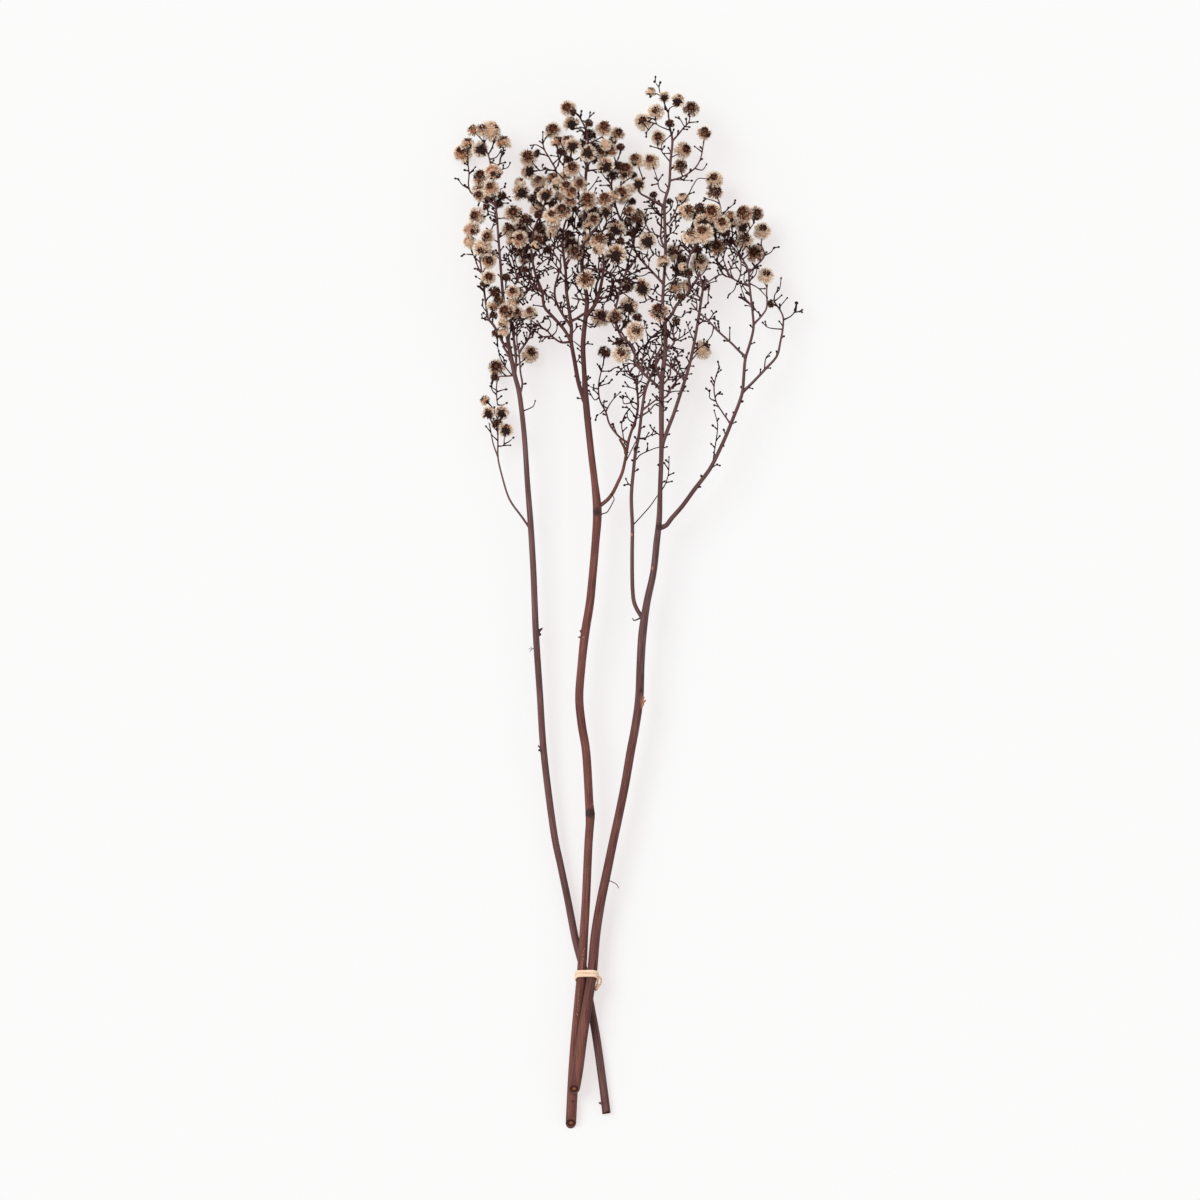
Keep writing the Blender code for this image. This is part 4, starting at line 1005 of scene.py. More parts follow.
for plan in [
    [(-54, 224), (-56.3, 227.2)], [(-55, 222.7), (-56.8, 223.5)],
    [(-58.5, 217.5), (-55, 218.5), (-51.5, 218.5)], [(-54.5, 218), (-53.5, 215.3)],
    [(-42, 236), (-43.5, 240), (-41.5, 242)], [(-39.5, 240), (-35, 243), (-33.5, 246)],
    [(-32, 240), (-31.3, 244.5), (-33.8, 247)], [(-36, 254), (-33.5, 252.5)],
    [(-37, 213), (-34.5, 216), (-33.8, 217.5)],
    [(-25, 288), (-27, 291), (-28.5, 294), (-31.5, 291.5), (-35.5, 291.3)],
    [(-26.5, 245), (-29.5, 248), (-30, 252)], [(-26.3, 250), (-30.5, 254), (-32.5, 258.5)],
    [(-26, 262), (-29, 266), (-30.5, 270.5)], [(-20, 244), (-16, 243), (-13, 245.5)],
    [(-14.5, 228), (-18, 232.5), (-19.5, 237)], [(-14, 224), (-10.5, 229), (-10, 234.5)],
    [(-13, 222), (-17, 226.5)], [(-8, 231), (-11.5, 236), (-12, 241)],
    [(-5, 237), (-8.5, 242), (-8.5, 247)], [(-3, 245), (-7, 249.5), (-9.5, 254)],
    [(-3, 252), (0.5, 256), (1.5, 261)], [(-6.5, 262), (-11, 266), (-15, 271)],
    [(-8, 268), (-4, 272), (-2.5, 277)], [(-9, 276.5), (-13, 280), (-15.5, 284)],
    [(-25.8, 262), (-21.5, 267), (-19, 272.5)], [(-25.8, 270), (-21, 274.5), (-17.5, 280)],
    [(-25.5, 278), (-29.5, 282), (-31, 287)], [(-25, 290), (-20.5, 291.5), (-17, 290)],
    [(-24.5, 296), (-28.5, 300), (-29, 305)], [(-24.5, 299), (-20.5, 302)],
    [(8, 131), (3.5, 134), (0.5, 138.5)], [(8.5, 134), (12, 138), (13, 143)],
    [(7.5, 144), (11, 147.5), (12, 152.5)], [(5, 149), (1.5, 151.5), (-0.5, 155.5)],
    [(2.5, 128), (-0.5, 131.5), (-1, 136)], [(4, 113), (7, 117), (7.5, 121.5)],
    [(6, 118), (2.5, 121), (1.5, 125)], [(-40, 285), (-36.5, 289), (-35.5, 294)],
    [(-40, 278), (-43.5, 282), (-46, 284.5)], [(-39, 272), (-35, 276), (-33, 280)],
    [(-50, 262), (-54, 266), (-56, 271)], [(-49, 268), (-53, 272.5)],
    [(-55, 257), (-59.5, 260.5), (-62, 265)], [(-60, 243), (-64, 247.5), (-64.5, 252)],
    [(-59, 247), (-55.5, 251.5)], [(-61.2, 236), (-64.5, 239.5)],
    [(-24, 196), (-20.5, 199), (-17.5, 204.5)], [(-27.5, 214), (-31, 217.5), (-32, 222)],
    [(-28, 220), (-24.5, 224), (-23, 229)], [(-27.8, 227), (-31.5, 231), (-31.5, 236)],
    [(-9, 200), (-7, 198), (-6.5, 195.8)], [(-17.5, 199), (-15.3, 202), (-12.3, 205.8)],
    [(-8.8, 202.3), (-9.2, 205.8)], [(-6, 202.4), (-6.8, 206)], [(-4, 202.5), (-2, 206), (-1, 207.5)],
    [(-27, 203), (-29.6, 204.2), (-32, 208.2), (-35, 212.3)], [(-30, 205), (-32.3, 202.3)],
    [(-30.5, 206), (-31.5, 210.5)], [(-32, 208), (-33.3, 213.5)],
    [(-27, 234), (-24.4, 229), (-24.1, 223.5)], [(-27.5, 223), (-31, 226), (-33, 231)],
    [(7, 122.5), (4, 126.7), (1.3, 129.3)], [(8, 127), (5.2, 129.5), (3.8, 132.6)],
    [(2.7, 127), (0, 123.8), (-0.6, 120.5)], [(-6, 112), (-6.6, 115), (-7.6, 118)],
    [(-62, 206.4), (-66, 209), (-66.5, 213.5)], [(-61.5, 210.5), (-64.5, 211), (-65.5, 213)],
    [(-61, 210), (-62, 208.5)], [(-60.5, 212.5), (-63.5, 214)], [(-58, 212), (-60, 210)],
    [(-56.5, 177), (-55, 175)], [(-57.5, 177.5), (-57, 180.2)], [(-59, 178.3), (-60.5, 176.5)],
    [(-59.5, 184.2), (-58.5, 181.5)],
    [(-17.9, 58), (-14, 59), (-11.5, 60), (-8, 66), (-7, 68.5), (-8.5, 71.5)], [(-27.3, 165), (-31, 167.5)],
    [(-28.5, 168), (-32, 171), (-35, 173)], [(-48, 175.5), (-45, 179), (-44.5, 183)],
    [(-48.5, 175.3), (-54, 175), (-56, 172)], [(-51, 179), (-49, 182), (-49, 185), (-51, 188.5)],
    [(-53.5, 195), (-60, 196)], [(-53.3, 299), (-58, 302), (-62, 301.7)], [(-54.5, 302), (-54, 310.5)],
    [(-54.5, 303), (-56, 304.3)], [(-44.5, 285.5), (-54, 286.5), (-54, 288.5)], [(-50, 286), (-52, 283.5)],
    [(-46.5, 290.5), (-43.5, 293.5), (-48.5, 294.8)], [(-43.5, 293), (-41, 289)], [(-40, 297), (-43, 304)],
    [(-41, 295), (-44, 297.5)], [(-28, 316), (-25, 317), (-23.5, 319), (-22.8, 322.5)],
    [(-30, 320), (-28.5, 323.3)], [(-27, 313), (-30, 313), (-26, 309)], [(-15, 306.5), (-11.5, 303)],
    [(-24, 299.5), (-29, 298.5)], [(-26, 295.5), (-33, 291.5), (-36, 292)],
    [(-8, 273), (-8.5, 285), (-4.5, 292), (-3, 296)], [(-9, 275), (-11, 275), (-16, 275)],
    [(-12.5, 126), (-10, 131), (-7, 135), (-3, 139)], [(-12.5, 129), (-15.5, 131.5), (-12, 133)],
    [(-17, 143.5), (-10.5, 145)], [(-17, 143.5), (-12, 149.5)], [(-17, 141.7), (-21, 142), (-24, 143.5)],
    [(-17, 136), (-20, 134), (-23.5, 140)], [(-15, 152), (-18, 157.5)], [(-15, 152), (-10.5, 153)],
    [(0, 94), (1, 94), (4.5, 101), (8, 108)], [(8, 138), (7, 141), (-1, 143)],
    [(7, 143), (6, 147), (-1, 150.5)], [(0.8, 104), (0, 105), (-1.5, 113), (-2, 118), (0, 124), (3, 128)],
    [(-1.5, 113), (1, 115.5)], [(-10, 118), (-8, 118)], [(-13, 127), (-16, 125), (-18, 124)],
]:
    centre.twig(plan)
centre.bud_out(lambda point: 184 < point.y < 262, 10.5, 0.7, 17)
centre.bud_out(lambda point: point.y > 110, 8.0, 0.12, 8)
centre.stub((-30, -19, 20), (-1, 0.6, 0.4), 3.9, 3.0)
centre.stub((-30, -23, 20), (-1, 0.1, 0.4), 4.4, 1.6)
CENTRE_MARKS = [
    ((-23, -138.5, 19), (5, 4.2, 5), NODE_DARK), ((-20.6, -132.5, 18), (0.9, 1.3, 3), RAW_WOOD),
    ((-22.3, -13.5, 22.5), (0.7, 1.9, 3), PALE_FLECK), ((-27.3, -22.6, 23), (0.9, 0.6, 2), PALE_FLECK),
    ((-34.4, -329, 8), (1.1, 1.2, 3), NODE_DARK),
    ((-18.5, 60, 25), (3.0, 4, 4), NODE_DARK)]
# Two rows of pale flecks along the top of the centre stem: glossy lenticels whose glint is painted into
# their pale colour, so they are partly a painted highlight.
scatter = random.Random("pale scales")
for x, y, z, count in ((-27.8, -240, 14.5, 9), (-31.3, -272, 12, 12)):
    for step in range(count):
        aside = 0.12 * step + scatter.uniform(-0.55, 0.55)
        along = 1.5 * step + scatter.uniform(-0.5, 0.5)
        CENTRE_MARKS.append(((x + aside, y + along, z), (0.4, scatter.uniform(0.4, 0.9), 2.5), PALE_FLECK))
for node, tone, *places in [
    ("head_centre_01", "tan", (-37.5, 325.5, 32, 10, "eyed"), (-33.5, 322.5, 35, 5.5, "husk")),
    ("head_centre_02", "dark", (-35.3, 315.5, 30, 10, "star"), (-24, 315, 36, 6.5, "husk")),
    ("head_centre_03", "brown", (-13.8, 312, 30, 10.5, "eyed"), (-5, 309, 27, 9, "brown")),
    ("head_centre_04", "dark", (-24.5, 295.5, 42, 10, "star"), (-24, 307.5, 24, 10, "husk"),
     (-15.5, 296.5, 24, 9, "ball"), (-9, 297.5, 30, 8.5, "eyed"), (-12.5, 301.5, 36, 7.5, "pale"),
     (-2.5, 299.5, 30, 6.5, "husk"), (-28, 301.5, 28, 7, "husk"), (-20, 300, 26, 7, "husk"),
     (-21.5, 292, 28, 7, "husk"), (-8.5, 304, 24, 7, "husk"), (-13.5, 292, 24, 6.5, "husk")),
    ("head_centre_05", "dark", (-37, 303, 24, 10, "tuft"), (-34.3, 300.5, 35, 9.5, "star"),
     (-44.5, 303.5, 20, 8.5, "tuft"), (-41.5, 296.5, 24, 7.5, "husk"), (-38, 291.5, 26, 7, "husk")),
    ("head_centre_06", "tan", (-48, 312.5, 5.2, 10.2, "eyed")),
    ("head_centre_07", "tan", (-63.5, 294, 12, 11, "eyed"), (-63.5, 284.5, 14, 10, "star"),
     (-57.5, 296.5, 16, 5.5, "husk")),
    ("head_centre_08", "tan", (-56, 277.5, 11, 10.5, "ball"), (-47.5, 280, 10, 9, "tuft")),
    ("head_centre_09", "dark", (-12.8, 287, 37, 10.5, "star"), (0, 284.5, 24, 11, "eyed")),
    ("head_centre_10", "cream", (-38.5, 273, 46, 9, "eyed"), (-35.2, 269.5, 48, 7.5, "brown"),
     (-36, 264.3, 43, 8.5, "eyed"), (-34.5, 285.3, 40, 10.5, "eyed"), (-29.8, 275.5, 36, 9, "ball"),
     (-44, 275, 30, 9, "pale"), (-42.5, 267.5, 26, 8.5, "pale"), (-39.5, 280.3, 32, 7.5, "pale")),
    ("head_centre_11", "cream", (-24.5, 264.7, 41, 11, "eyed"), (-25, 253.5, 24, 10, "ball"),
     (-20.5, 252, 36, 8.5, "ball"), (-22, 259.5, 34, 8, "star"), (-28, 248.5, 28, 7.5, "husk"),
     (-16.5, 256.5, 28, 7, "husk")),
    ("head_centre_12", "tan", (-13, 265.5, 38, 9.5, "eyed"), (-7.5, 266.8, 34, 9, "tuft"),
     (-2, 269, 26, 12, "eyed"), (3, 272, 22, 8, "pale"), (-12, 257.5, 34, 8.5, "star"),
     (-8, 281, 26, 8, "husk"), (-4.5, 287.5, 28, 7, "husk"), (5, 281.5, 20, 7, "husk")),
    ("head_centre_13", "tan", (-68.3, 270.5, 26, 11, "star"), (-69, 276.5, 20, 7.5, "pale"),
     (-52, 268, 40, 9.5, "star"), (-57.5, 259.5, 22, 9.5, "pale"), (-56.5, 255, 30, 7, "husk"),
     (-56, 270, 28, 8, "husk"), (-48, 263, 30, 8, "husk"), (-60.5, 266, 22, 7.5, "husk")),
    ("head_centre_14", "brown", (-41, 257, 50, 10.5, "brown"), (-47.8, 253.2, 47, 10.5, "ball"),
     (-47, 248.3, 38, 9, "eyed"), (-47, 243.5, 30, 8.5, "pale"), (-57, 238.5, 26, 9.5, "brown"),
     (-59, 234.5, 34, 6, "pale"), (-33.5, 258.5, 38, 6.5, "husk"), (-55.5, 246, 22, 8.5, "brown"),
     (-53, 240, 22, 7.5, "husk"), (-50.5, 232, 22, 7, "husk"), (-65, 233.5, 26, 7.5, "husk")),
    ("head_centre_15", "cream", (-35.3, 235.5, 23, 11, "eyed"), (-33, 230.5, 36, 9.5, "brown"),
     (-30, 229.5, 18, 8.5, "pale"), (-37, 242.5, 20, 7, "husk")),
    ("head_centre_16", "cream", (-17, 237.7, 40, 10.5, "eyed"), (-17.5, 231.5, 44, 8.5, "pale"),
     (-23, 238.5, 34, 9, "pale"), (-24, 248, 36, 8, "tuft"), (-5.5, 246.3, 30, 11, "star"),
     (-10, 240, 34, 7, "husk"), (-3, 237, 32, 7, "husk")),
    ("head_centre_17", "dark", (-6.2, 228.5, 42, 12.5, "star"), (-25.3, 212.3, 38, 11.5, "eyed")),
    ("head_centre_18", "tan", (-16, 188.7, 5.7, 11.2, "ball")),
    ("head_centre_19", "dark", (-13.3, 165, 12, 9.4, "husk")),
]:
    flower_heads(centre, node, tone, *places)
RED_BARK = {
    "Pale": (0.34, 0.150, 0.110), "Middle": (0.195, 0.073, 0.060), "Dark": (0.078, 0.024, 0.020),
    "Top": (0.090, 0.042, 0.042), "Top start": 0.085, "Top end": 0.14}
show(
    "centre_stem", centre.mesh(saw_cut(CENTRE_CUT, CUT_FACING, 0.25)),
    [bark("centre_bark", RED_BARK, CENTRE_MARKS), cut_wood("centre_cut_wood", CENTRE_CUT, 3.7),
     bark("centre_twigs", TWIG_BARK, [])], "stem_centre")

# ---------------------------------------------------------------------------------------------
# The right stem, as red and the most branched. It rests on the left one beside the band, lies over
# the centre one at the cut ends, and bears a scar of raw orange wood where a branch was pulled off.
RIGHT_CUT = (-33.4, -320.5, 13.1)
SCAR = (12.6, -66, 20.5)
RIGHT_STUB = (-8.6, -185, 14.6)
SLIVERS = [  # of the raw wood in the scar: how far along it starts, its way, length and width
    (-72, (0.42, 1.0, 0.15), 10.5, 2.2), (-67, (0.85, 0.75, 0.2), 6.6, 1.8),
    (-70, (0.6, 0.8, 0.3), 6.8, 2.4)]
right = Wood("right")
right_axis = right.grow("stout", [
    (-34.4, -328, 12.9), (-31.0, -308, 13.7), (-28.3, -288, 14.2), (-25.3, -268, 14.2), (-21.7, -245, 13.2),
    (-19.3, -219, 13.4), (-15.8, -197, 14.0), (-12.1, -179, 14.6), (-8, -159, 15.3), (-3.7, -139, 16.2),
    (0.3, -119, 17), (3.7, -99, 18), (7.2, -80, 18.8), (9.6, -62, 19.5), (10.4, -40, 20.5),
    (11.7, -20, 21.2), (14.5, 0, 22), (18.8, 20, 22.6), (21, 40, 23.2), (22.7, 56, 23.6), (23.3, 76, 24),
    (24.1, 100, 24.6), (24.1, 125, 25), (24.4, 146, 25.5), (26.6, 166, 26.4), (26.4, 182, 27),
    (25, 196, 27.6), (25.5, 210, 28), (26.4, 222, 28.6), (26.8, 236, 29), (26.2, 252, 29.6),
    (26.2, 264, 30), (29.2, 275, 30.4), (30, 290, 31), (31.3, 304, 31.5), (29.4, 314, 32),
    (28.4, 324.5, 32.5)],
    [7.0, 7.2, 7.0, 6.8, 6.6, 6.4, 6.0, 5.9, 5.7, 5.6, 5.6, 5.7, 5.6, 5.7, 5.4, 5.6, 4.8, 4.4, 4.4, 3.8, 3.1,
     3.1, 3.4, 3.2, 2.9, 2.9, 2.2, 2.0, 2.0, 2.0, 2.0, 2.1, 1.8, 1.7, 1.6, 1.2, 1.0])
right.branch(right_axis, [
    (12.6, -11), (7, -2), (5.2, 8), (4.8, 30), (5, 50), (4.3, 70), (5.8, 88), (7.2, 100),
    (9.5, 112), (11.3, 127), (13.5, 140), (17, 149), (20.5, 157), (25.4, 166)], 26, (2.8, 1.6))
right.branch(right_axis, [
    (24.1, 104), (28.5, 115), (32, 124), (37, 139), (41.5, 153), (45, 168), (48.2, 186),
    (50.3, 200), (51.6, 207), (53.5, 213)], 34, (2.6, 1.5))
right.branch(right_axis, [
    (24.3, 139), (18, 146), (12, 151.5), (7.3, 158), (5.8, 167), (1, 173), (-3.5, 180)], 35, (2.1, 1.2))
right_fork = right.branch(right_axis, [
    (27, 184), (31, 190), (34, 196), (39.5, 201.5), (44, 208), (48, 214), (49, 218)], 30, (2.2, 1.6))
right_crown = right.branch(right_fork, [
    (43, 206.5), (42, 214), (41, 222), (44, 231), (51, 239), (57, 244), (58.5, 250)], 40, (1.9, 1.5))
right_bough = right.branch(right_axis, [
    (22.3, 50), (27, 51), (31, 56), (38, 64), (46, 75), (53, 84), (57, 90), (62, 100), (67, 111),
    (71, 121), (75, 131), (77.4, 139), (78.2, 148), (79.2, 160), (81.5, 168), (83.5, 175),
    (84.7, 182), (84, 192), (82.7, 203), (81.8, 212), (81.2, 219), (77.5, 226), (71, 234), (66, 238)],
    30, (3.2, 1.0))
right.branch(right_bough, [
    (77.4, 138.5), (82, 143), (92, 153.5), (100, 162.5), (102.5, 172), (104.3, 182), (104, 190),
    (98.5, 199)], 14, (2.0, 1.0))
right.branch(right_bough, [
    (79.4, 161), (75, 166), (70, 171), (61, 179), (54, 186.5), (48.5, 191), (43.5, 197)], 41, (1.7, 0.9))
right.branch(right_bough, [(84.8, 183.5), (90, 189), (93.5, 195), (93.4, 205), (94, 210)], 20, (1.4, 0.9))
right.branch(right_bough, [(81.3, 218), (87, 222.5), (92, 229), (90, 236), (90.5, 240)], 14, (1.3, 0.9))
right.branch(right_bough, [(69.5, 117), (64, 126), (60, 133), (58.8, 143), (61, 152)], 20, (1.1, 0.8))
right.branch(right_axis, [(25.9, 261), (18, 265.5), (11, 269), (9, 271)], 26, (1.6, 1.0))
right.branch(right_axis, [
    (25.5, 210), (18, 218), (10, 227), (6, 235), (7, 245), (8, 249)], 24, (1.7, 1.0))
right.branch(right_axis, [(31.3, 304), (35, 308), (39, 313), (42, 316), (42.8, 320)], 29, (1.2, 0.8))
right.branch(right_axis, [(29.8, 278), (38, 280.5), (46, 286), (50, 293), (52, 304)], 27, (1.3, 0.8))
right.branch(right_crown, [(50, 238), (45, 236), (42.5, 236)], 36, (1.2, 0.9))
right.branch(right_crown, [(58.2, 248), (63, 256), (62, 264), (60, 268)], 26, (1.3, 0.9))
for width, *plan in [
    (1.5, (27.3, 232), (24.8, 236.5), (23.6, 241), (24, 248), (24.2, 255), (24.6, 262)),
    (1.2, (27.6, 247.5), (29.5, 250.5), (31.5, 254), (33.5, 258.5), (34.8, 263), (33, 267)),
    (1.0, (23.6, 241), (20, 242.5), (16, 244.8), (13.5, 246.5), (10.2, 248.5)),
    (1.0, (8.5, 229.3), (6.5, 233), (4.8, 238), (4.3, 243), (4.4, 248)),
    (0.9, (6.3, 236), (6.6, 241), (6.5, 247)), (0.9, (7.5, 240.5), (9.5, 242.5), (10, 247)),
    (2.0, (24.4, 146), (21.5, 152), (20.3, 158), (21.8, 164), (25, 170)),
    (1.3, (13, 149), (16, 156), (18, 162), (21, 168)),
    (2.0, (6.5, 165), (4.5, 169.5), (1.5, 172), (-1.3, 173.8), (-3.2, 176.5), (-5.2, 181)),
    (1.6, (-5.2, 181), (-6.3, 188), (-5.8, 195), (-4.5, 200), (-3.6, 205), (-2.6, 209.5), (-0.5, 213.5),
     (0.8, 219), (2.3, 224), (3.2, 229), (5, 234)),
    (1.0, (0.2, 216), (2, 219), (4.8, 224), (8, 228.8)),
    (1.3, (10.5, 153), (9, 158), (8.4, 162), (9, 167), (7.8, 171), (4.5, 173)),
    (1.4, (11, 153), (11.4, 158), (12.3, 163), (13.6, 168), (15.3, 172), (18.5, 175.5), (21.8, 178.5),
     (25, 180.5)),
    (0.9, (8.5, 157), (5, 157.4), (1.6, 157.8), (-0.5, 157.5)), (0.9, (8, 156.5), (4.5, 154.2), (3, 151.5)),
    (1.6, (28.2, 166.5), (31.3, 169.5), (32.5, 172.5), (32, 176.5), (31, 180), (29.5, 184)),
    (1.2, (26.4, 158.5), (30, 155.5), (33.5, 152.5), (38, 149)),
    (1.0, (30.8, 154.8), (33, 158.5), (34.5, 162.5), (35, 165.8)),
    (0.9, (25.3, 199.3), (22.5, 198.6), (19.5, 199.8), (15.5, 199.8), (13.3, 198)),
    (0.9, (24.8, 201.5), (21.8, 203.3), (20, 206), (19.6, 209.7)),
    (0.9, (25.8, 202.7), (28.3, 205), (31, 207)),
    (1.3, (80.9, 208.6), (77.5, 210), (74.5, 211.5), (70, 214), (66.5, 215), (64, 216.3), (60, 214.8),
     (57, 212.7), (53.8, 211)),
    (1.1, (69.3, 214.4), (67.5, 218.5), (66, 222.5), (64.8, 226), (63, 229.5)),
    (0.8, (67.3, 218.7), (70.8, 222), (70.6, 225), (68, 228.2)),
    (1.0, (75.4, 211.5), (76, 216), (76.4, 221), (76.4, 226), (77.3, 231.5)),
    (0.9, (82.3, 196), (79.3, 200.5), (77, 206), (75.4, 211)),
    (1.0, (68.5, 236.5), (63.3, 234.3), (58, 233), (55.3, 229.5)),
    (0.9, (41, 232), (38.4, 236.3), (37, 241.5)), (1.4, (42, 225), (44.5, 232), (48.5, 237)),
    (1.3, (51.3, 203), (51, 207), (50, 213), (49, 218)),
    (0.8, (53.5, 212.5), (56, 208.8), (54.5, 205.8), (51.5, 206)),
    (0.9, (50.2, 211), (47, 206.5), (45.2, 201.5), (43.8, 198)),
    (1.0, (49.7, 198.4), (45, 200.3), (41, 201.5)),
    (1.4, (11.5, 127), (15.5, 130), (19.5, 133), (22.5, 134.8)),
    (1.2, (12, 124), (16, 126.5), (19.5, 130.5), (22.8, 131.7)),
    (0.9, (13.5, 141), (11.5, 138.5), (9.3, 137.5)), (1.0, (3.7, 98.5), (6, 101.5), (7.5, 104)),
    (1.3, (25.6, 133), (28, 136.5), (30, 140.5), (32, 143.8), (35, 147), (37.5, 150.5)),
    (1.3, (25.3, 142), (28, 147), (30, 151), (30, 156), (31, 160)),
    (1.4, (38.9, 146), (36.5, 150.5), (33, 153), (30, 155.5), (27.5, 157.5)),
]:
    right.limb(width, *plan)
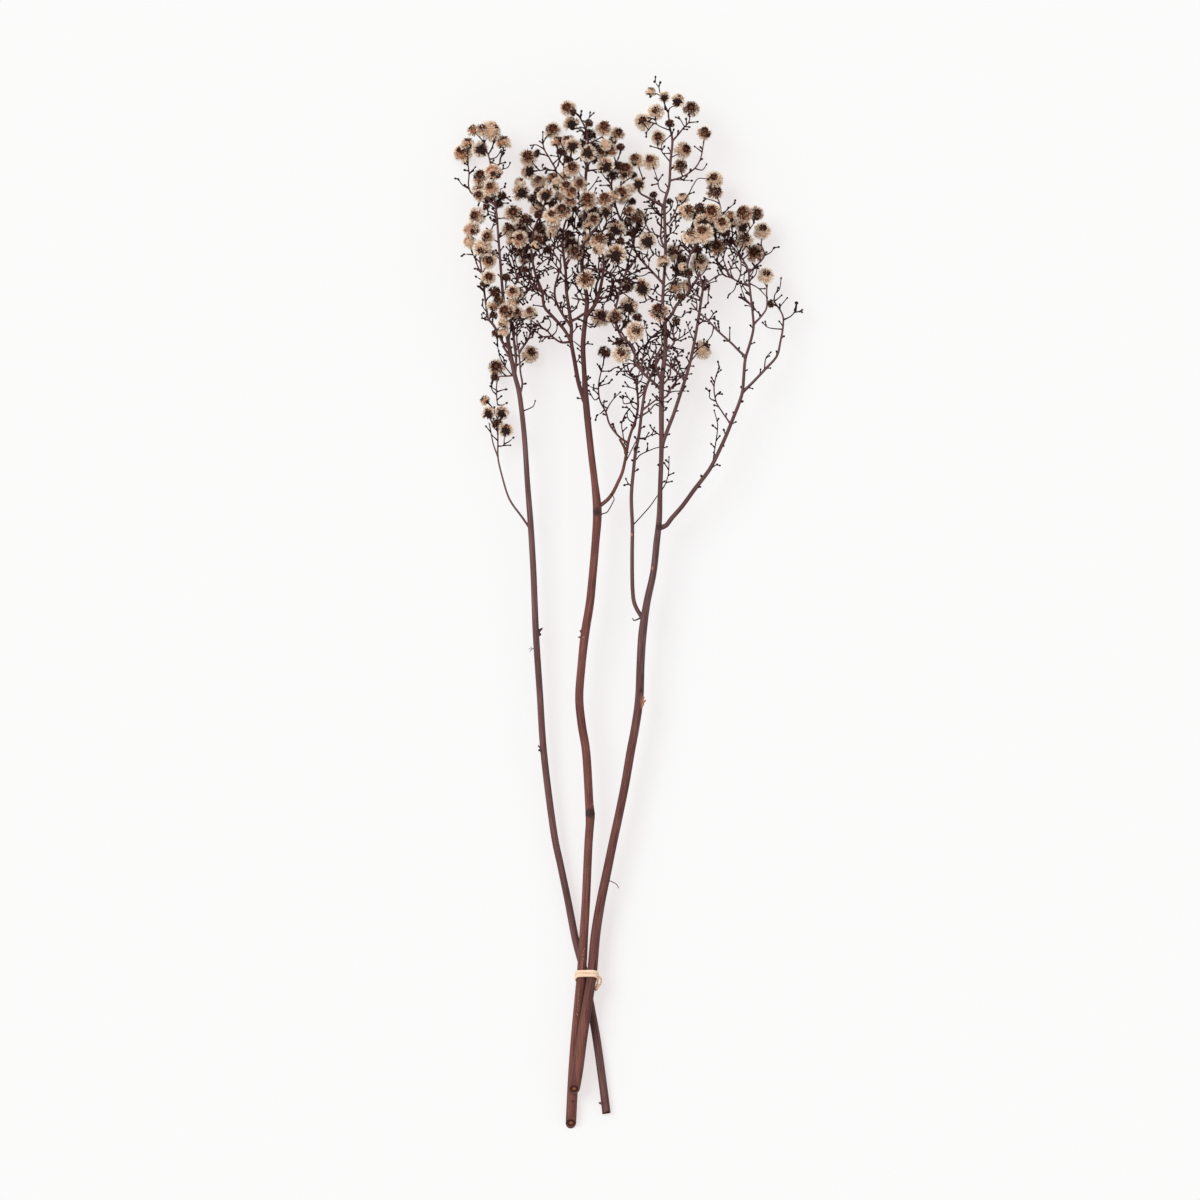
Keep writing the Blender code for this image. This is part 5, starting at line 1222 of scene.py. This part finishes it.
for plan in [
    [(26.5, 240), (30, 243.5), (31, 248.5)], [(26.3, 246), (22, 249.5), (20.5, 254)],
    [(26.3, 256), (30.5, 259.5), (31.5, 264)], [(41, 222), (37.5, 226.5), (36.5, 231)],
    [(43, 229), (39.5, 233.5), (36, 235)], [(50.5, 238.5), (53.5, 243), (53.5, 248)],
    [(56, 243), (59.5, 246.5), (62, 251.5)], [(57.5, 246), (54, 250.5), (53, 255.5)],
    [(58.5, 249), (55.5, 254), (51, 258)], [(48, 236), (44, 240), (42.5, 245)],
    [(46, 234), (49, 238.5), (48.5, 243)], [(61, 253), (65.5, 256.5), (68, 260)],
    [(80, 222), (76, 225.5), (75, 230.5)], [(78, 226), (81.5, 230), (82, 234.5)],
    [(74, 231), (77.5, 235.5), (78, 240)], [(70, 235), (73.5, 239.5), (73, 244)],
    [(66, 238), (69, 243), (68, 248)], [(63, 236), (60, 240.5), (58.5, 244)],
    [(81.5, 214), (84.5, 218.5), (85, 222.5)], [(68, 228.2), (72, 231), (72.5, 235)],
    [(30.5, 228), (34.5, 231.5), (36.5, 236.5)], [(26.7, 232), (23, 236), (21.5, 240.5)],
    [(20, 216.5), (16, 220.5), (16, 225.5)], [(11, 226), (14.5, 229.5), (15.5, 234.5)],
    [(27.3, 230), (31.5, 233), (34, 238.5)], [(48, 214.5), (52, 217.5), (54, 221.5)],
    [(51.5, 206), (55.5, 210), (60, 211.5)], [(3, 182), (0.5, 186), (0, 190.5)],
    [(9.5, 168.5), (6.5, 172.5), (7, 177)], [(12, 161), (15, 165), (13.5, 169.5)],
    [(17, 174.5), (14, 178.5), (14.5, 183)], [(70, 214), (66.5, 219), (62, 224), (58, 228)],
    [(72, 213), (69.5, 219), (72, 225), (70.5, 231)], [(66.5, 215), (62.5, 219), (61, 225), (62, 230)],
    [(64, 221.5), (60, 223.5), (56, 224)], [(76.3, 218), (73, 222.5), (73.5, 228)],
    [(81.5, 208), (78.5, 212), (79, 217.5)], [(82.5, 203), (79, 206.5), (76.5, 211.5)],
    [(81.7, 212), (86, 216), (87, 221.5)], [(9, 161), (5.5, 164.5), (3.5, 169)],
    [(8.5, 166), (12, 170), (11, 175.5)], [(5, 171), (8.5, 175), (9.5, 181)],
    [(1, 174.5), (4.5, 178.5), (4, 184)], [(-2.5, 177), (-6.5, 180.5), (-9, 185)],
    [(0, 173), (-4, 172.5), (-7.5, 175)], [(10, 154), (6, 158), (6.5, 163)],
    [(12, 151), (8.5, 149), (5, 150.5)], [(13.3, 144), (9.5, 146), (6.5, 145)],
    [(24, 254.5), (20, 259.5), (19.3, 263)], [(20, 259.7), (16, 261.2)],
    [(29.5, 243.3), (29.8, 248), (32, 251.5), (33.3, 253.5)], [(15.8, 245), (14.2, 248.5), (13.6, 249.8)],
    [(15.5, 220), (11, 219.8)], [(7.2, 214.8), (7, 217.5)], [(7, 217), (8.6, 222.3)],
    [(8.5, 229.3), (11, 230), (14.8, 229.2)], [(7.5, 232), (10.8, 231), (11.5, 227.5), (12.7, 224.8)],
    [(1, 219), (-1.5, 219.2)], [(-0.5, 219.2), (-4.3, 221.3)], [(-1.2, 219), (-6.5, 215)],
    [(2.5, 226), (0, 227.5), (-1, 230)], [(3, 229), (1, 230.5), (0.5, 233.5)], [(5, 225), (1.8, 225)],
    [(4.5, 233.5), (1.5, 236)], [(3.2, 229), (6, 227.5)], [(4.4, 243), (1, 242), (-1.5, 243.5)],
    [(4.4, 241), (1.5, 243.5)], [(6.5, 240), (3, 242.5), (0, 242)], [(9, 166), (12, 163.5)],
    [(9.2, 169.5), (12.3, 167)], [(15, 171.5), (14.8, 176.3)], [(15.5, 172.5), (17.2, 175.2)],
    [(15, 171), (18.6, 171.5)], [(11.5, 158), (13.4, 157.7)], [(12, 162), (15.5, 165), (15.8, 167.5)],
    [(13.8, 168.5), (16.2, 168), (17.5, 165.8)], [(32.5, 172), (35.3, 173.5), (36, 176), (36.4, 179.3)],
    [(32.3, 177), (34.5, 179.3), (33.8, 183)], [(33.5, 187), (37, 188), (40, 190.8), (43.5, 192)],
    [(34.5, 173), (38, 175.5), (41.5, 178)], [(26.5, 168.5), (23.5, 170), (20.8, 172.8)],
    [(23.7, 170), (18.5, 170.3)], [(24.5, 160.5), (21.8, 162.8), (20.2, 166)],
    [(21.8, 162.8), (17.8, 165.8)], [(24.2, 161), (22.5, 165.3)], [(21.8, 159), (19.3, 159.3)],
    [(27, 180), (24, 180.7), (21.5, 183.5)], [(27, 177.5), (22.3, 177.7)],
    [(27.2, 174.5), (23.5, 176.5), (22, 174.5)], [(24, 180), (20.2, 176.8)], [(22, 178.5), (19.3, 179.8)],
    [(24.5, 181.5), (23.3, 185)], [(34.8, 165), (32.3, 166.3)], [(34, 161), (35.8, 158.5)],
    [(34.3, 162.5), (37.5, 162.8)], [(32, 157), (30, 160), (31.8, 164)], [(33, 152.5), (34.6, 155)],
    [(35.5, 151.5), (36.3, 156.3)], [(17, 199.8), (16.5, 201.2)], [(20.5, 199.5), (20.9, 201.4)],
    [(20.2, 205.8), (17.3, 206.6)], [(20.3, 205.3), (18.6, 203.5)],
    [(26.5, 202.3), (29.5, 202.3), (32.5, 202)], [(26, 198.5), (27.9, 198.3)],
    [(70.5, 219.8), (73.6, 220.6)], [(70.7, 224.5), (73, 229.5)], [(66, 222.5), (63.6, 219.5)],
    [(65, 225.5), (61.3, 222.8)], [(61.3, 222.8), (58.5, 224)], [(64.3, 217), (63.3, 219.5)],
    [(62, 216), (61, 218.7)], [(61.2, 222.6), (59.6, 225.8)], [(81.8, 198), (78.8, 199.8), (75.3, 201.2)],
    [(83, 219.5), (86, 221.2), (84.2, 223.2)], [(85.5, 221), (88, 220.3)], [(86.5, 221.8), (89.3, 222)],
    [(71.2, 243.3), (68.2, 238.2), (64.5, 234.5)], [(76.8, 229), (73.5, 233.8), (71, 240)],
    [(77.3, 231), (79.5, 234.5)], [(40.3, 230), (37.4, 234.8)], [(38.2, 236.5), (35.9, 238)],
    [(44, 229), (47.5, 231.5), (50, 230)], [(45, 233), (42, 235.5), (42.5, 238.5)],
    [(46.5, 235), (49.5, 233), (52.5, 234)], [(43, 227), (40, 229.5)], [(48, 236.5), (47, 240)],
    [(44.5, 231.5), (47.8, 234.5)], [(44.5, 206), (46.2, 203), (49.5, 201)], [(41, 200.5), (42.8, 203.7)],
    [(41, 214), (36, 216), (32.8, 219.5), (31.5, 222)], [(38, 214), (33.5, 217.3)],
    [(36, 213), (32.3, 215.6)], [(16, 126.3), (17.2, 125.2)], [(30, 138.5), (33, 139.4), (41.5, 139.4)],
    [(30, 142.5), (34.8, 144)], [(26.5, 139), (27.8, 139.6)], [(29, 148.5), (31.3, 148.6)],
    [(32.5, 145), (33.2, 148)], [(37.5, 149), (40, 153.5), (43, 157.3)], [(38.5, 150), (43.7, 150.8)],
    [(23.3, 151.8), (19.7, 151.9)], [(21.5, 134.3), (18.4, 137.3)], [(22, 134.5), (21, 136)],
    [(22.5, 146.5), (20.5, 142)], [(12.5, 108.3), (13.2, 107.8)], [(16, 110.5), (15.7, 112)],
    [(28.4, 323), (25.8, 329), (23, 336), (22.3, 339.5), (19.5, 343)], [(22.3, 339.5), (23.3, 342.5)],
    [(28.5, 323), (29.5, 325.3), (33, 327)], [(38, 312), (39, 313.5), (35.5, 319.5)],
    [(42, 315.5), (47.8, 316.5)], [(40, 314), (40.3, 318.5)], [(38, 312), (41, 311.5)],
    [(29.5, 289), (27, 293.5), (24.3, 297), (24, 300), (25, 303), (30, 307.5)], [(30, 295), (26, 295.5)],
    [(24, 298), (17, 300.5)], [(24, 299), (22, 299), (21.5, 303)],
    [(29.3, 310.5), (24, 313), (21, 315), (20, 318.5)], [(20, 313.5), (13, 317)], [(19, 313), (14, 309.3)],
    [(28.5, 270), (23.5, 271.5), (22, 275), (21.8, 277.5), (19, 286)], [(21.8, 277.5), (24.8, 281.5)],
    [(22, 276.5), (18, 275)], [(46, 285.5), (51, 285), (53.8, 288.8)], [(50.8, 296), (46, 300.3)],
    [(30, 278.5), (34, 278.5), (44, 278)], [(38.5, 280), (37, 284)],
    [(34, 261.5), (38, 263), (42, 269), (45, 275), (48.5, 279.5), (55, 279)],
    [(26.8, 238), (28, 242), (32, 244), (35, 248)], [(26, 261), (24, 261), (11, 269)],
    [(20, 216), (16, 217.5), (12, 215.5), (1.5, 214.5)], [(26.5, 218.5), (29.5, 212.5), (33.5, 216)],
    [(75, 210.5), (74, 211.5), (72, 206), (69, 203.3)], [(92, 229), (96, 231), (98.3, 234)],
    [(78.5, 243), (85, 250)], [(63, 256), (66, 257.5), (72, 262.5)],
    [(62, 262), (59, 264.5), (52.5, 266.5)], [(82.5, 211), (88, 207), (93.5, 201)],
    [(98.5, 199), (99, 203.5), (102, 207), (103, 214)], [(98.7, 198.7), (100, 200), (103.5, 203)],
    [(102, 194), (102.5, 195.5), (107, 201)], [(104, 180), (98, 181), (94, 182), (91, 185)],
    [(92, 154), (92.8, 161), (96, 165)], [(90.5, 189), (83.5, 195), (79.5, 196)], [(83.5, 196), (76, 201)],
    [(55.5, 186), (58, 190), (57, 192)], [(58, 190), (60, 191.5)], [(61, 180), (59, 184)],
    [(58, 180), (57, 176), (54, 172)], [(69, 172), (69, 181)], [(59.5, 133), (56, 135), (56, 140)],
    [(58.8, 143), (57, 146)], [(60, 149), (61, 152), (62, 154.5)],
    [(57, 92), (59.5, 103), (61, 113), (61, 119), (59, 127)], [(60, 107), (62.5, 110)],
    [(61, 114), (58, 117)], [(23.5, 74), (25, 75.5), (26.5, 78), (28.5, 84), (29, 90), (29, 96)],
    [(28.5, 84), (32, 85.5)], [(28.8, 88), (26, 92)], [(5, 51), (6, 52), (16, 63), (21, 70), (24, 74)],
    [(6.5, 94), (8, 95), (10, 97.5), (15, 100), (20, 102), (24, 103)], [(15, 100), (15, 105)],
    [(8.8, 108), (10, 108.5), (14, 109), (18, 111.5), (19.5, 115.5)],
]:
    right.twig(plan)
right.twig([(104.3, 186.5), (106.5, 187.5), (110, 189.5), (112.5, 193)], rise=0.0, bud=False, width=0.85)
right.add_twig(
    [Vector((112.3, 192.6, 13.5)), Vector((113, 195.5, 13.4)), Vector((113.3, 198, 13.2))], width=1.3)
right.twig([(10.8, -9), (10, -10), (6, -11.5), (5, -10)], rise=0.1, bud=False, width=0.9)
right.bud_out(lambda point: 140 < point.y < 262 and point.x < 60, 13.5, 0.65, 14)
right.bud_out(lambda point: point.y > 70, 9.0, 0.12, 8)
right.stub(RIGHT_STUB, (1, 0.25, 0.35), 2.2, 2.6)
for y, towards, length, width in SLIVERS:
    right.stub((9.0, y, 19.5), towards, length, width)
right.twig([(-8.2, -184), (-6, -185), (-4, -188)], rise=0.1, bud=False, width=0.5)
RIGHT_MARKS = [
    (SCAR, (2.6, 6.5, 4.5), RAW_WOOD), ((10.8, -57.5, 22), (1.3, 2.2, 3), NODE_DARK),
    (RIGHT_STUB, (2.4, 3, 4), NODE_DARK), ((18, 23, 25), (0.8, 1.4, 2), RAW_WOOD),
    ((4.5, 45, 24), (0.9, 1.4, 3), RAW_WOOD), ((22.5, 50, 25), (3, 3, 4), NODE_DARK)]
# Painted light: long red-brown streaks down the upper left flank of the stem's lower part, the side that
# faces the window.
for place in (
        (-26.6, -277, 17.6), (-28.0, -284, 17.6), (-29.6, -296, 17.3), (-31.6, -306, 17), (-30.4, -310, 17)):
    RIGHT_MARKS.append((place, (0.9, 14, 3), PAINTED_LIT_FLANK))
for node, tone, *places in [
    ("head_right_01", "dark", (35, 330.3, 33, 9, "star"), (26, 332.5, 36, 7, "star"),
     (17, 336, 30, 7, "tuft")),
    ("head_right_02", "tan", (20, 323, 30, 10, "ball"), (29.5, 314.5, 38, 7, "husk"),
     (22, 306, 26, 9.5, "ball")),
    ("head_right_03", "tan", (12, 318, 5.4, 10.6, "ball")),
    ("head_right_04", "brown", (43.6, 325.3, 27, 10, "eyed")),
    ("head_right_05", "brown", (52.5, 309.3, 26, 9.2, "brown")),
    ("head_right_06", "tan", (38.3, 298, 20, 10.8, "ball"), (36.7, 288.3, 18, 9.4, "eyed")),
    ("head_right_07", "tan", (17.2, 290.7, 22, 10.4, "ball"), (7.5, 291.5, 18, 9.5, "eyed"),
     (9, 276, 24, 9, "star"), (4.5, 264, 20, 6.5, "husk"), (19, 268.5, 22, 6, "husk")),
    ("head_right_08", "tan", (59.2, 279, 18, 10.5, "ball"), (59, 271.5, 16, 10, "eyed")),
    ("head_right_09", "dark", (57, 256.3, 46, 11.5, "brown"), (63.7, 248.7, 45, 10, "ball"),
     (49.5, 259, 42, 8.5, "husk"), (50.5, 250, 46, 10, "star"), (69, 254, 30, 8, "tuft"),
     (65.5, 243, 34, 9, "husk"), (70.5, 249.5, 26, 8, "tuft"), (54, 247, 32, 8, "husk"),
     (58.5, 243.5, 30, 8, "husk"), (69, 237.5, 26, 7.5, "husk"), (63.5, 236.5, 24, 7, "husk"),
     (47, 246.5, 26, 8, "husk"), (53, 254.5, 36, 8, "husk"), (46.5, 254, 32, 8, "husk"),
     (58, 250, 38, 8, "husk")),
    ("head_right_10", "brown", (40.7, 257, 36, 11, "eyed"), (38, 266, 24, 8, "tuft"),
     (29.4, 264, 26, 5, "husk")),
    ("head_right_11", "cream", (51, 242, 51, 12.5, "ball"), (43, 240.5, 50, 10, "eyed"),
     (60.5, 234, 30, 11, "brown"), (54, 235.5, 26, 8, "husk"), (48, 232, 26, 7.5, "husk")),
    ("head_right_12", "tan", (77.5, 248, 27, 9, "star"), (78.3, 256, 28, 10.5, "eyed"),
     (87, 256.5, 22, 9.5, "brown")),
    ("head_right_13", "dark", (78.8, 239, 22, 11.5, "eyed")),
    ("head_right_14", "tan", (91, 245.3, 12, 10.8, "ball")),
    ("head_right_15", "cream", (86, 231, 5.8, 11.4, "eyed")),
    ("head_right_16", "tan", (93.2, 215.7, 20, 10.2, "ball"), (96.5, 197, 16, 6, "husk")),
    ("head_right_17", "tan", (49.3, 223.5, 22, 12, "ball"), (38, 221, 34, 5.5, "pale")),
    ("head_right_18", "cream", (32, 230, 20, 11, "ball"), (25, 224, 36, 9, "tuft"),
     (38, 225.5, 28, 8, "husk"), (34.5, 219.5, 26, 7, "husk")),
    ("head_right_19", "cream", (22, 191.5, 38, 12, "eyed"), (33.5, 207, 24, 9, "tuft"),
     (39.5, 208.5, 22, 8, "pale"), (36.5, 201, 30, 7, "husk"), (41, 217, 30, 8.5, "husk"),
     (33.5, 185.5, 30, 6.5, "husk"), (11.5, 207.5, 30, 11, "star"), (2, 209, 20, 8.5, "brown")),
    ("head_right_20", "dark", (15, 238, 33, 11.5, "star"), (5, 243.5, 24, 6.5, "husk"),
     (1.5, 249.5, 24, 6.5, "husk"), (8, 254, 20, 11, "eyed"), (3, 257.5, 27, 8, "ball"),
     (8, 252, 36, 8, "husk")),
    ("head_right_21", "cream", (51, 167, 5.8, 11.4, "pale")),
    ("head_right_22", "cream", (7, 178, 46, 11.8, "ball"), (-6, 188, 36, 10, "eyed"),
     (3, 195, 30, 11.5, "star"), (8, 187, 38, 7.5, "husk"), (2, 183, 32, 7, "husk"),
     (-3.5, 171, 28, 7, "husk"), (-2, 164, 30, 11.5, "ball")),
]:
    flower_heads(right, node, tone, *places)
RIGHT_BARK = {
    "Pale": (0.30, 0.135, 0.100), "Middle": (0.160, 0.060, 0.052), "Dark": (0.062, 0.020, 0.018),
    "Top": (0.170, 0.092, 0.092), "Top start": -0.10, "Top end": -0.05}
show(
    "right_stem", right.mesh(saw_cut(RIGHT_CUT, CUT_FACING, 0.25)),
    [bark("right_bark", RIGHT_BARK, RIGHT_MARKS), cut_wood("right_cut_wood", RIGHT_CUT, 3.7),
     bark("right_twigs", TWIG_BARK, [])], "stem_right")

# ---------------------------------------------------------------------------------------------
# The rubber band, a pale peach loop with an oval section. It goes round the three stems twice, side
# by side over the top, and a slack twist of it hangs out on the right, in a darker brown that is
# painted shade.
BAND_WIDTH = 2.35
BAND_THICKNESS = 1.0
BAND_BOW = 3.3          # how far the middle of the turns lies above their ends, along the stems
BAND_GAP = 0.35
BAND_STEPS = 96
SECTION_CORNERS = 12
TWIST_WIDTH, TWIST_THICKNESS = 1.5, 0.9
band_low, band_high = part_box("rubber_band")
BAND_Y = (band_low.y + band_high.y) / 2 / MM - 1.9


def band_line():
    """The doubled loop: it follows the outline of the three stems, bowed upwards in the middle."""
    stems = [
        (Vector((-28.6, -245, 11.6)), 3.15), (Vector((-21.7, -245, 13.2)), 3.35),
        (Vector((-26.4, -245, 5.4)), 2.75)]
    line = []
    for step in range(BAND_STEPS):
        share = step / BAND_STEPS
        turn = 2 * math.tau * share - math.pi / 2
        outwards = Vector((math.cos(turn), 0.0, math.sin(turn)))
        middle, kept_clear = max(stems, key=lambda stem: stem[0].dot(outwards) + stem[1])
        place = middle + outwards * (kept_clear + BAND_GAP + BAND_THICKNESS / 2)
        side = max(-1.0, min(1.0, 6 * math.sin(math.tau * share)))
        place.y = BAND_Y + BAND_WIDTH * 0.49 * side + BAND_BOW * max(outwards.z, 0.0) ** 0.6
        if share < 0.05 or share > 0.95:
            place += outwards * BAND_THICKNESS
        line.append(place)
    for _ in range(3):
        line = [(line[i - 1] + 2 * line[i] + line[(i + 1) % len(line)]) / 4 for i in range(len(line))]
    return line


def band_tube(name, line, closed, width, thickness):
    """A flat oval tube along a line."""
    section = bpy.data.curves.new(name + "_section", "CURVE")
    outline = section.splines.new("POLY")
    outline.points.add(SECTION_CORNERS - 1)
    for index, point in enumerate(outline.points):
        turn = math.tau * index / SECTION_CORNERS
        point.co = (thickness / 2 * math.cos(turn) * MM, -width / 2 * math.sin(turn) * MM, 0.0, 1.0)
    outline.use_cyclic_u = True
    section_object = put_in_scene(name + "_section", section)
    curve = bpy.data.curves.new(name, "CURVE")
    curve.dimensions = "3D"
    curve.twist_mode = "Z_UP"
    curve.bevel_mode = "OBJECT"
    curve.bevel_object = section_object
    curve.use_fill_caps = True
    spline = curve.splines.new("POLY")
    spline.points.add(len(line) - 1)
    for point, place in zip(spline.points, line):
        point.co = (place.x * MM, place.z * MM, -place.y * MM, 1.0)
    spline.use_cyclic_u = closed
    mesh = mesh_of_curve(name, curve)
    mesh.transform(Matrix.Rotation(math.pi / 2, 4, "X"))
    bpy.data.objects.remove(section_object)
    return mesh


def rubber(name, dark, light):
    """Peach rubber with fine lines along it, a little blotched."""
    material, tree, shader = new_material(name)
    here = place_node(tree, "TexCoord").outputs["Object"]
    lengthwise = place_node(tree, "VectorMath", {0: here, 1: (120.0, 1500.0, 120.0)}, operation="MULTIPLY")
    lines = place_node(tree, "TexNoise", {"Vector": lengthwise.outputs[0], "Scale": 1.0, "Detail": 3.0})
    patches = place_node(tree, "TexNoise", {"Vector": here, "Scale": 160.0})
    colour = ramp(tree, lines.outputs["Fac"], (0.35, dark), (0.6, light))
    soft = ramp(tree, patches.outputs["Fac"], (0.4, (0.93, 0.90, 0.88)), (0.65, (1, 1, 1)))
    colour = blend_colours(tree, 1.0, colour, soft, "MULTIPLY")
    relief = place_node(tree, "Bump", {"Height": lines.outputs["Fac"], "Strength": 0.25, "Distance": 0.0002})
    tree.links.new(colour, shader.inputs["Base Color"])
    tree.links.new(relief.outputs["Normal"], shader.inputs["Normal"])
    shader.inputs["Roughness"].default_value = 0.5
    return material


TWIST = [Vector(place) for place in [
    (-18.9, -246.6, 14.4), (-16.8, -246.8, 14.9), (-15.5, -248.4, 14.6), (-15.9, -250.8, 13.8),
    (-17.5, -253.1, 13.0), (-19.3, -255.5, 12.6), (-18.4, -252.6, 12.4), (-17.9, -250.0, 12.9),
    (-19.0, -247.8, 13.2)]]
band = bmesh.new()
band.from_mesh(band_tube("band", band_line(), True, BAND_WIDTH, BAND_THICKNESS))
twist_line, _ = smooth_line(TWIST, [1.0] * len(TWIST), 0.7)
turns = len(band.faces)
band.from_mesh(band_tube("twist", twist_line, False, TWIST_WIDTH, TWIST_THICKNESS))
# The twist takes the darker brown rubber: painted shade.
for face in list(band.faces)[turns:]:
    face.material_index = 1
bmesh.ops.remove_doubles(band, verts=band.verts, dist=0.00001)
bmesh.ops.recalc_face_normals(band, faces=band.faces)
band_mesh = finished_mesh("band", band)
band_mesh.shade_smooth()
show(
    "peach_rubber_band", band_mesh,
    [rubber("peach_rubber", (0.72, 0.49, 0.33), (0.88, 0.65, 0.48)),
     rubber("shaded_twist_rubber", (0.42, 0.22, 0.13), (0.74, 0.47, 0.31))], "rubber_band")

# ---------------------------------------------------------------------------------------------
# The surface it lies on is matt white paper, lit by a wide soft window from the upper left and by the
# pale room. The camera looks straight down on it.
PAPER = (0.775, 0.98, 1.0)
SHEEN = (1.0, 0.897, 0.887)  # together with the paper this is near white, and shadows turn rosy
ROOM_WHITE = (0.965, 0.965, 0.965)  # the room beyond the surface looks as white as the surface does
SURFACE_REACH = 6.0
SHADOW_VEIL = 0.69     # this much of the shadow is lost in the bright surface, as seen by the camera
SKY_SHARE = 0.70
SKY_TINT = (1.0, 0.985, 0.99)
SUN_ANGLE = 34.0
SUN_STRENGTH = 1.86
SUN_TINT = (1.0, 0.99, 0.97)
SUN_FROM = (-0.52, 0.36, 0.78)
CAMERA_ASIDE = Vector((-17.07, 3.2)) * MM  # where the camera looks, from the middle of the CAD box
CAMERA_HEIGHT = 6.0
LENS = 272.28

paper, tree, matt = new_material("paper_white")
matt.inputs["Base Color"].default_value = (*PAPER, 1.0)
matt.inputs["Roughness"].default_value = 1.0
matt.inputs["Specular IOR Level"].default_value = 0.0
glow = place_node(tree, "Emission", {"Color": (*SHEEN, 1.0), "Strength": 1.0})
looked_at = place_node(tree, "LightPath").outputs["Is Camera Ray"]
veil = place_node(tree, "Math", {0: looked_at, 1: SHADOW_VEIL}, operation="MULTIPLY")
veiled = place_node(tree, "MixShader", {0: veil.outputs[0], 1: matt.outputs[0], 2: glow.outputs[0]})
tree.links.new(veiled.outputs[0], tree.nodes["Material Output"].inputs["Surface"])
sheet = bmesh.new()
bmesh.ops.create_grid(sheet, x_segments=1, y_segments=1, size=SURFACE_REACH)
sheet_mesh = finished_mesh("surface", sheet)
sheet_mesh.materials.append(paper)
surface = put_in_scene("surface", sheet_mesh)

world = bpy.data.worlds.new("soft_room")
bpy.context.scene.world = world
world.use_nodes = True
sky = world.node_tree
lit = sky.nodes["Background"]
lit.inputs["Color"].default_value = (*SKY_TINT, 1.0)
lit.inputs["Strength"].default_value = SKY_SHARE
backdrop = place_node(sky, "Background")
backdrop.inputs["Color"].default_value = (*ROOM_WHITE, 1.0)
seen = place_node(sky, "LightPath")
either = seen.outputs["Is Camera Ray"]
for way in ("Is Glossy Ray", "Is Transmission Ray"):
    either = place_node(sky, "Math", {0: either, 1: seen.outputs[way]}, operation="MAXIMUM").outputs[0]
choice = place_node(sky, "MixShader", {0: either, 1: lit.outputs[0], 2: backdrop.outputs[0]})
sky.links.new(choice.outputs[0], sky.nodes["World Output"].inputs["Surface"])

sun_light = bpy.data.lights.new("window", "SUN")
sun_light.energy = SUN_STRENGTH
sun_light.angle = math.radians(SUN_ANGLE)
sun_light.color = SUN_TINT
sun = put_in_scene("window", sun_light)
sun.rotation_euler = Vector(SUN_FROM).to_track_quat("Z", "Y").to_euler()

lens = bpy.data.cameras.new("overhead")
lens.lens = LENS
lens.sensor_width = 36.0
lens.clip_end = 30.0
camera = put_in_scene("overhead", lens)
middle = (Vector(cad_box[0]) + Vector(cad_box[1])) / 2
camera.location = (middle.x + CAMERA_ASIDE.x, middle.y + CAMERA_ASIDE.y, CAMERA_HEIGHT)
bpy.context.scene.camera = camera
bpy.context.scene.view_settings.view_transform = "Standard"
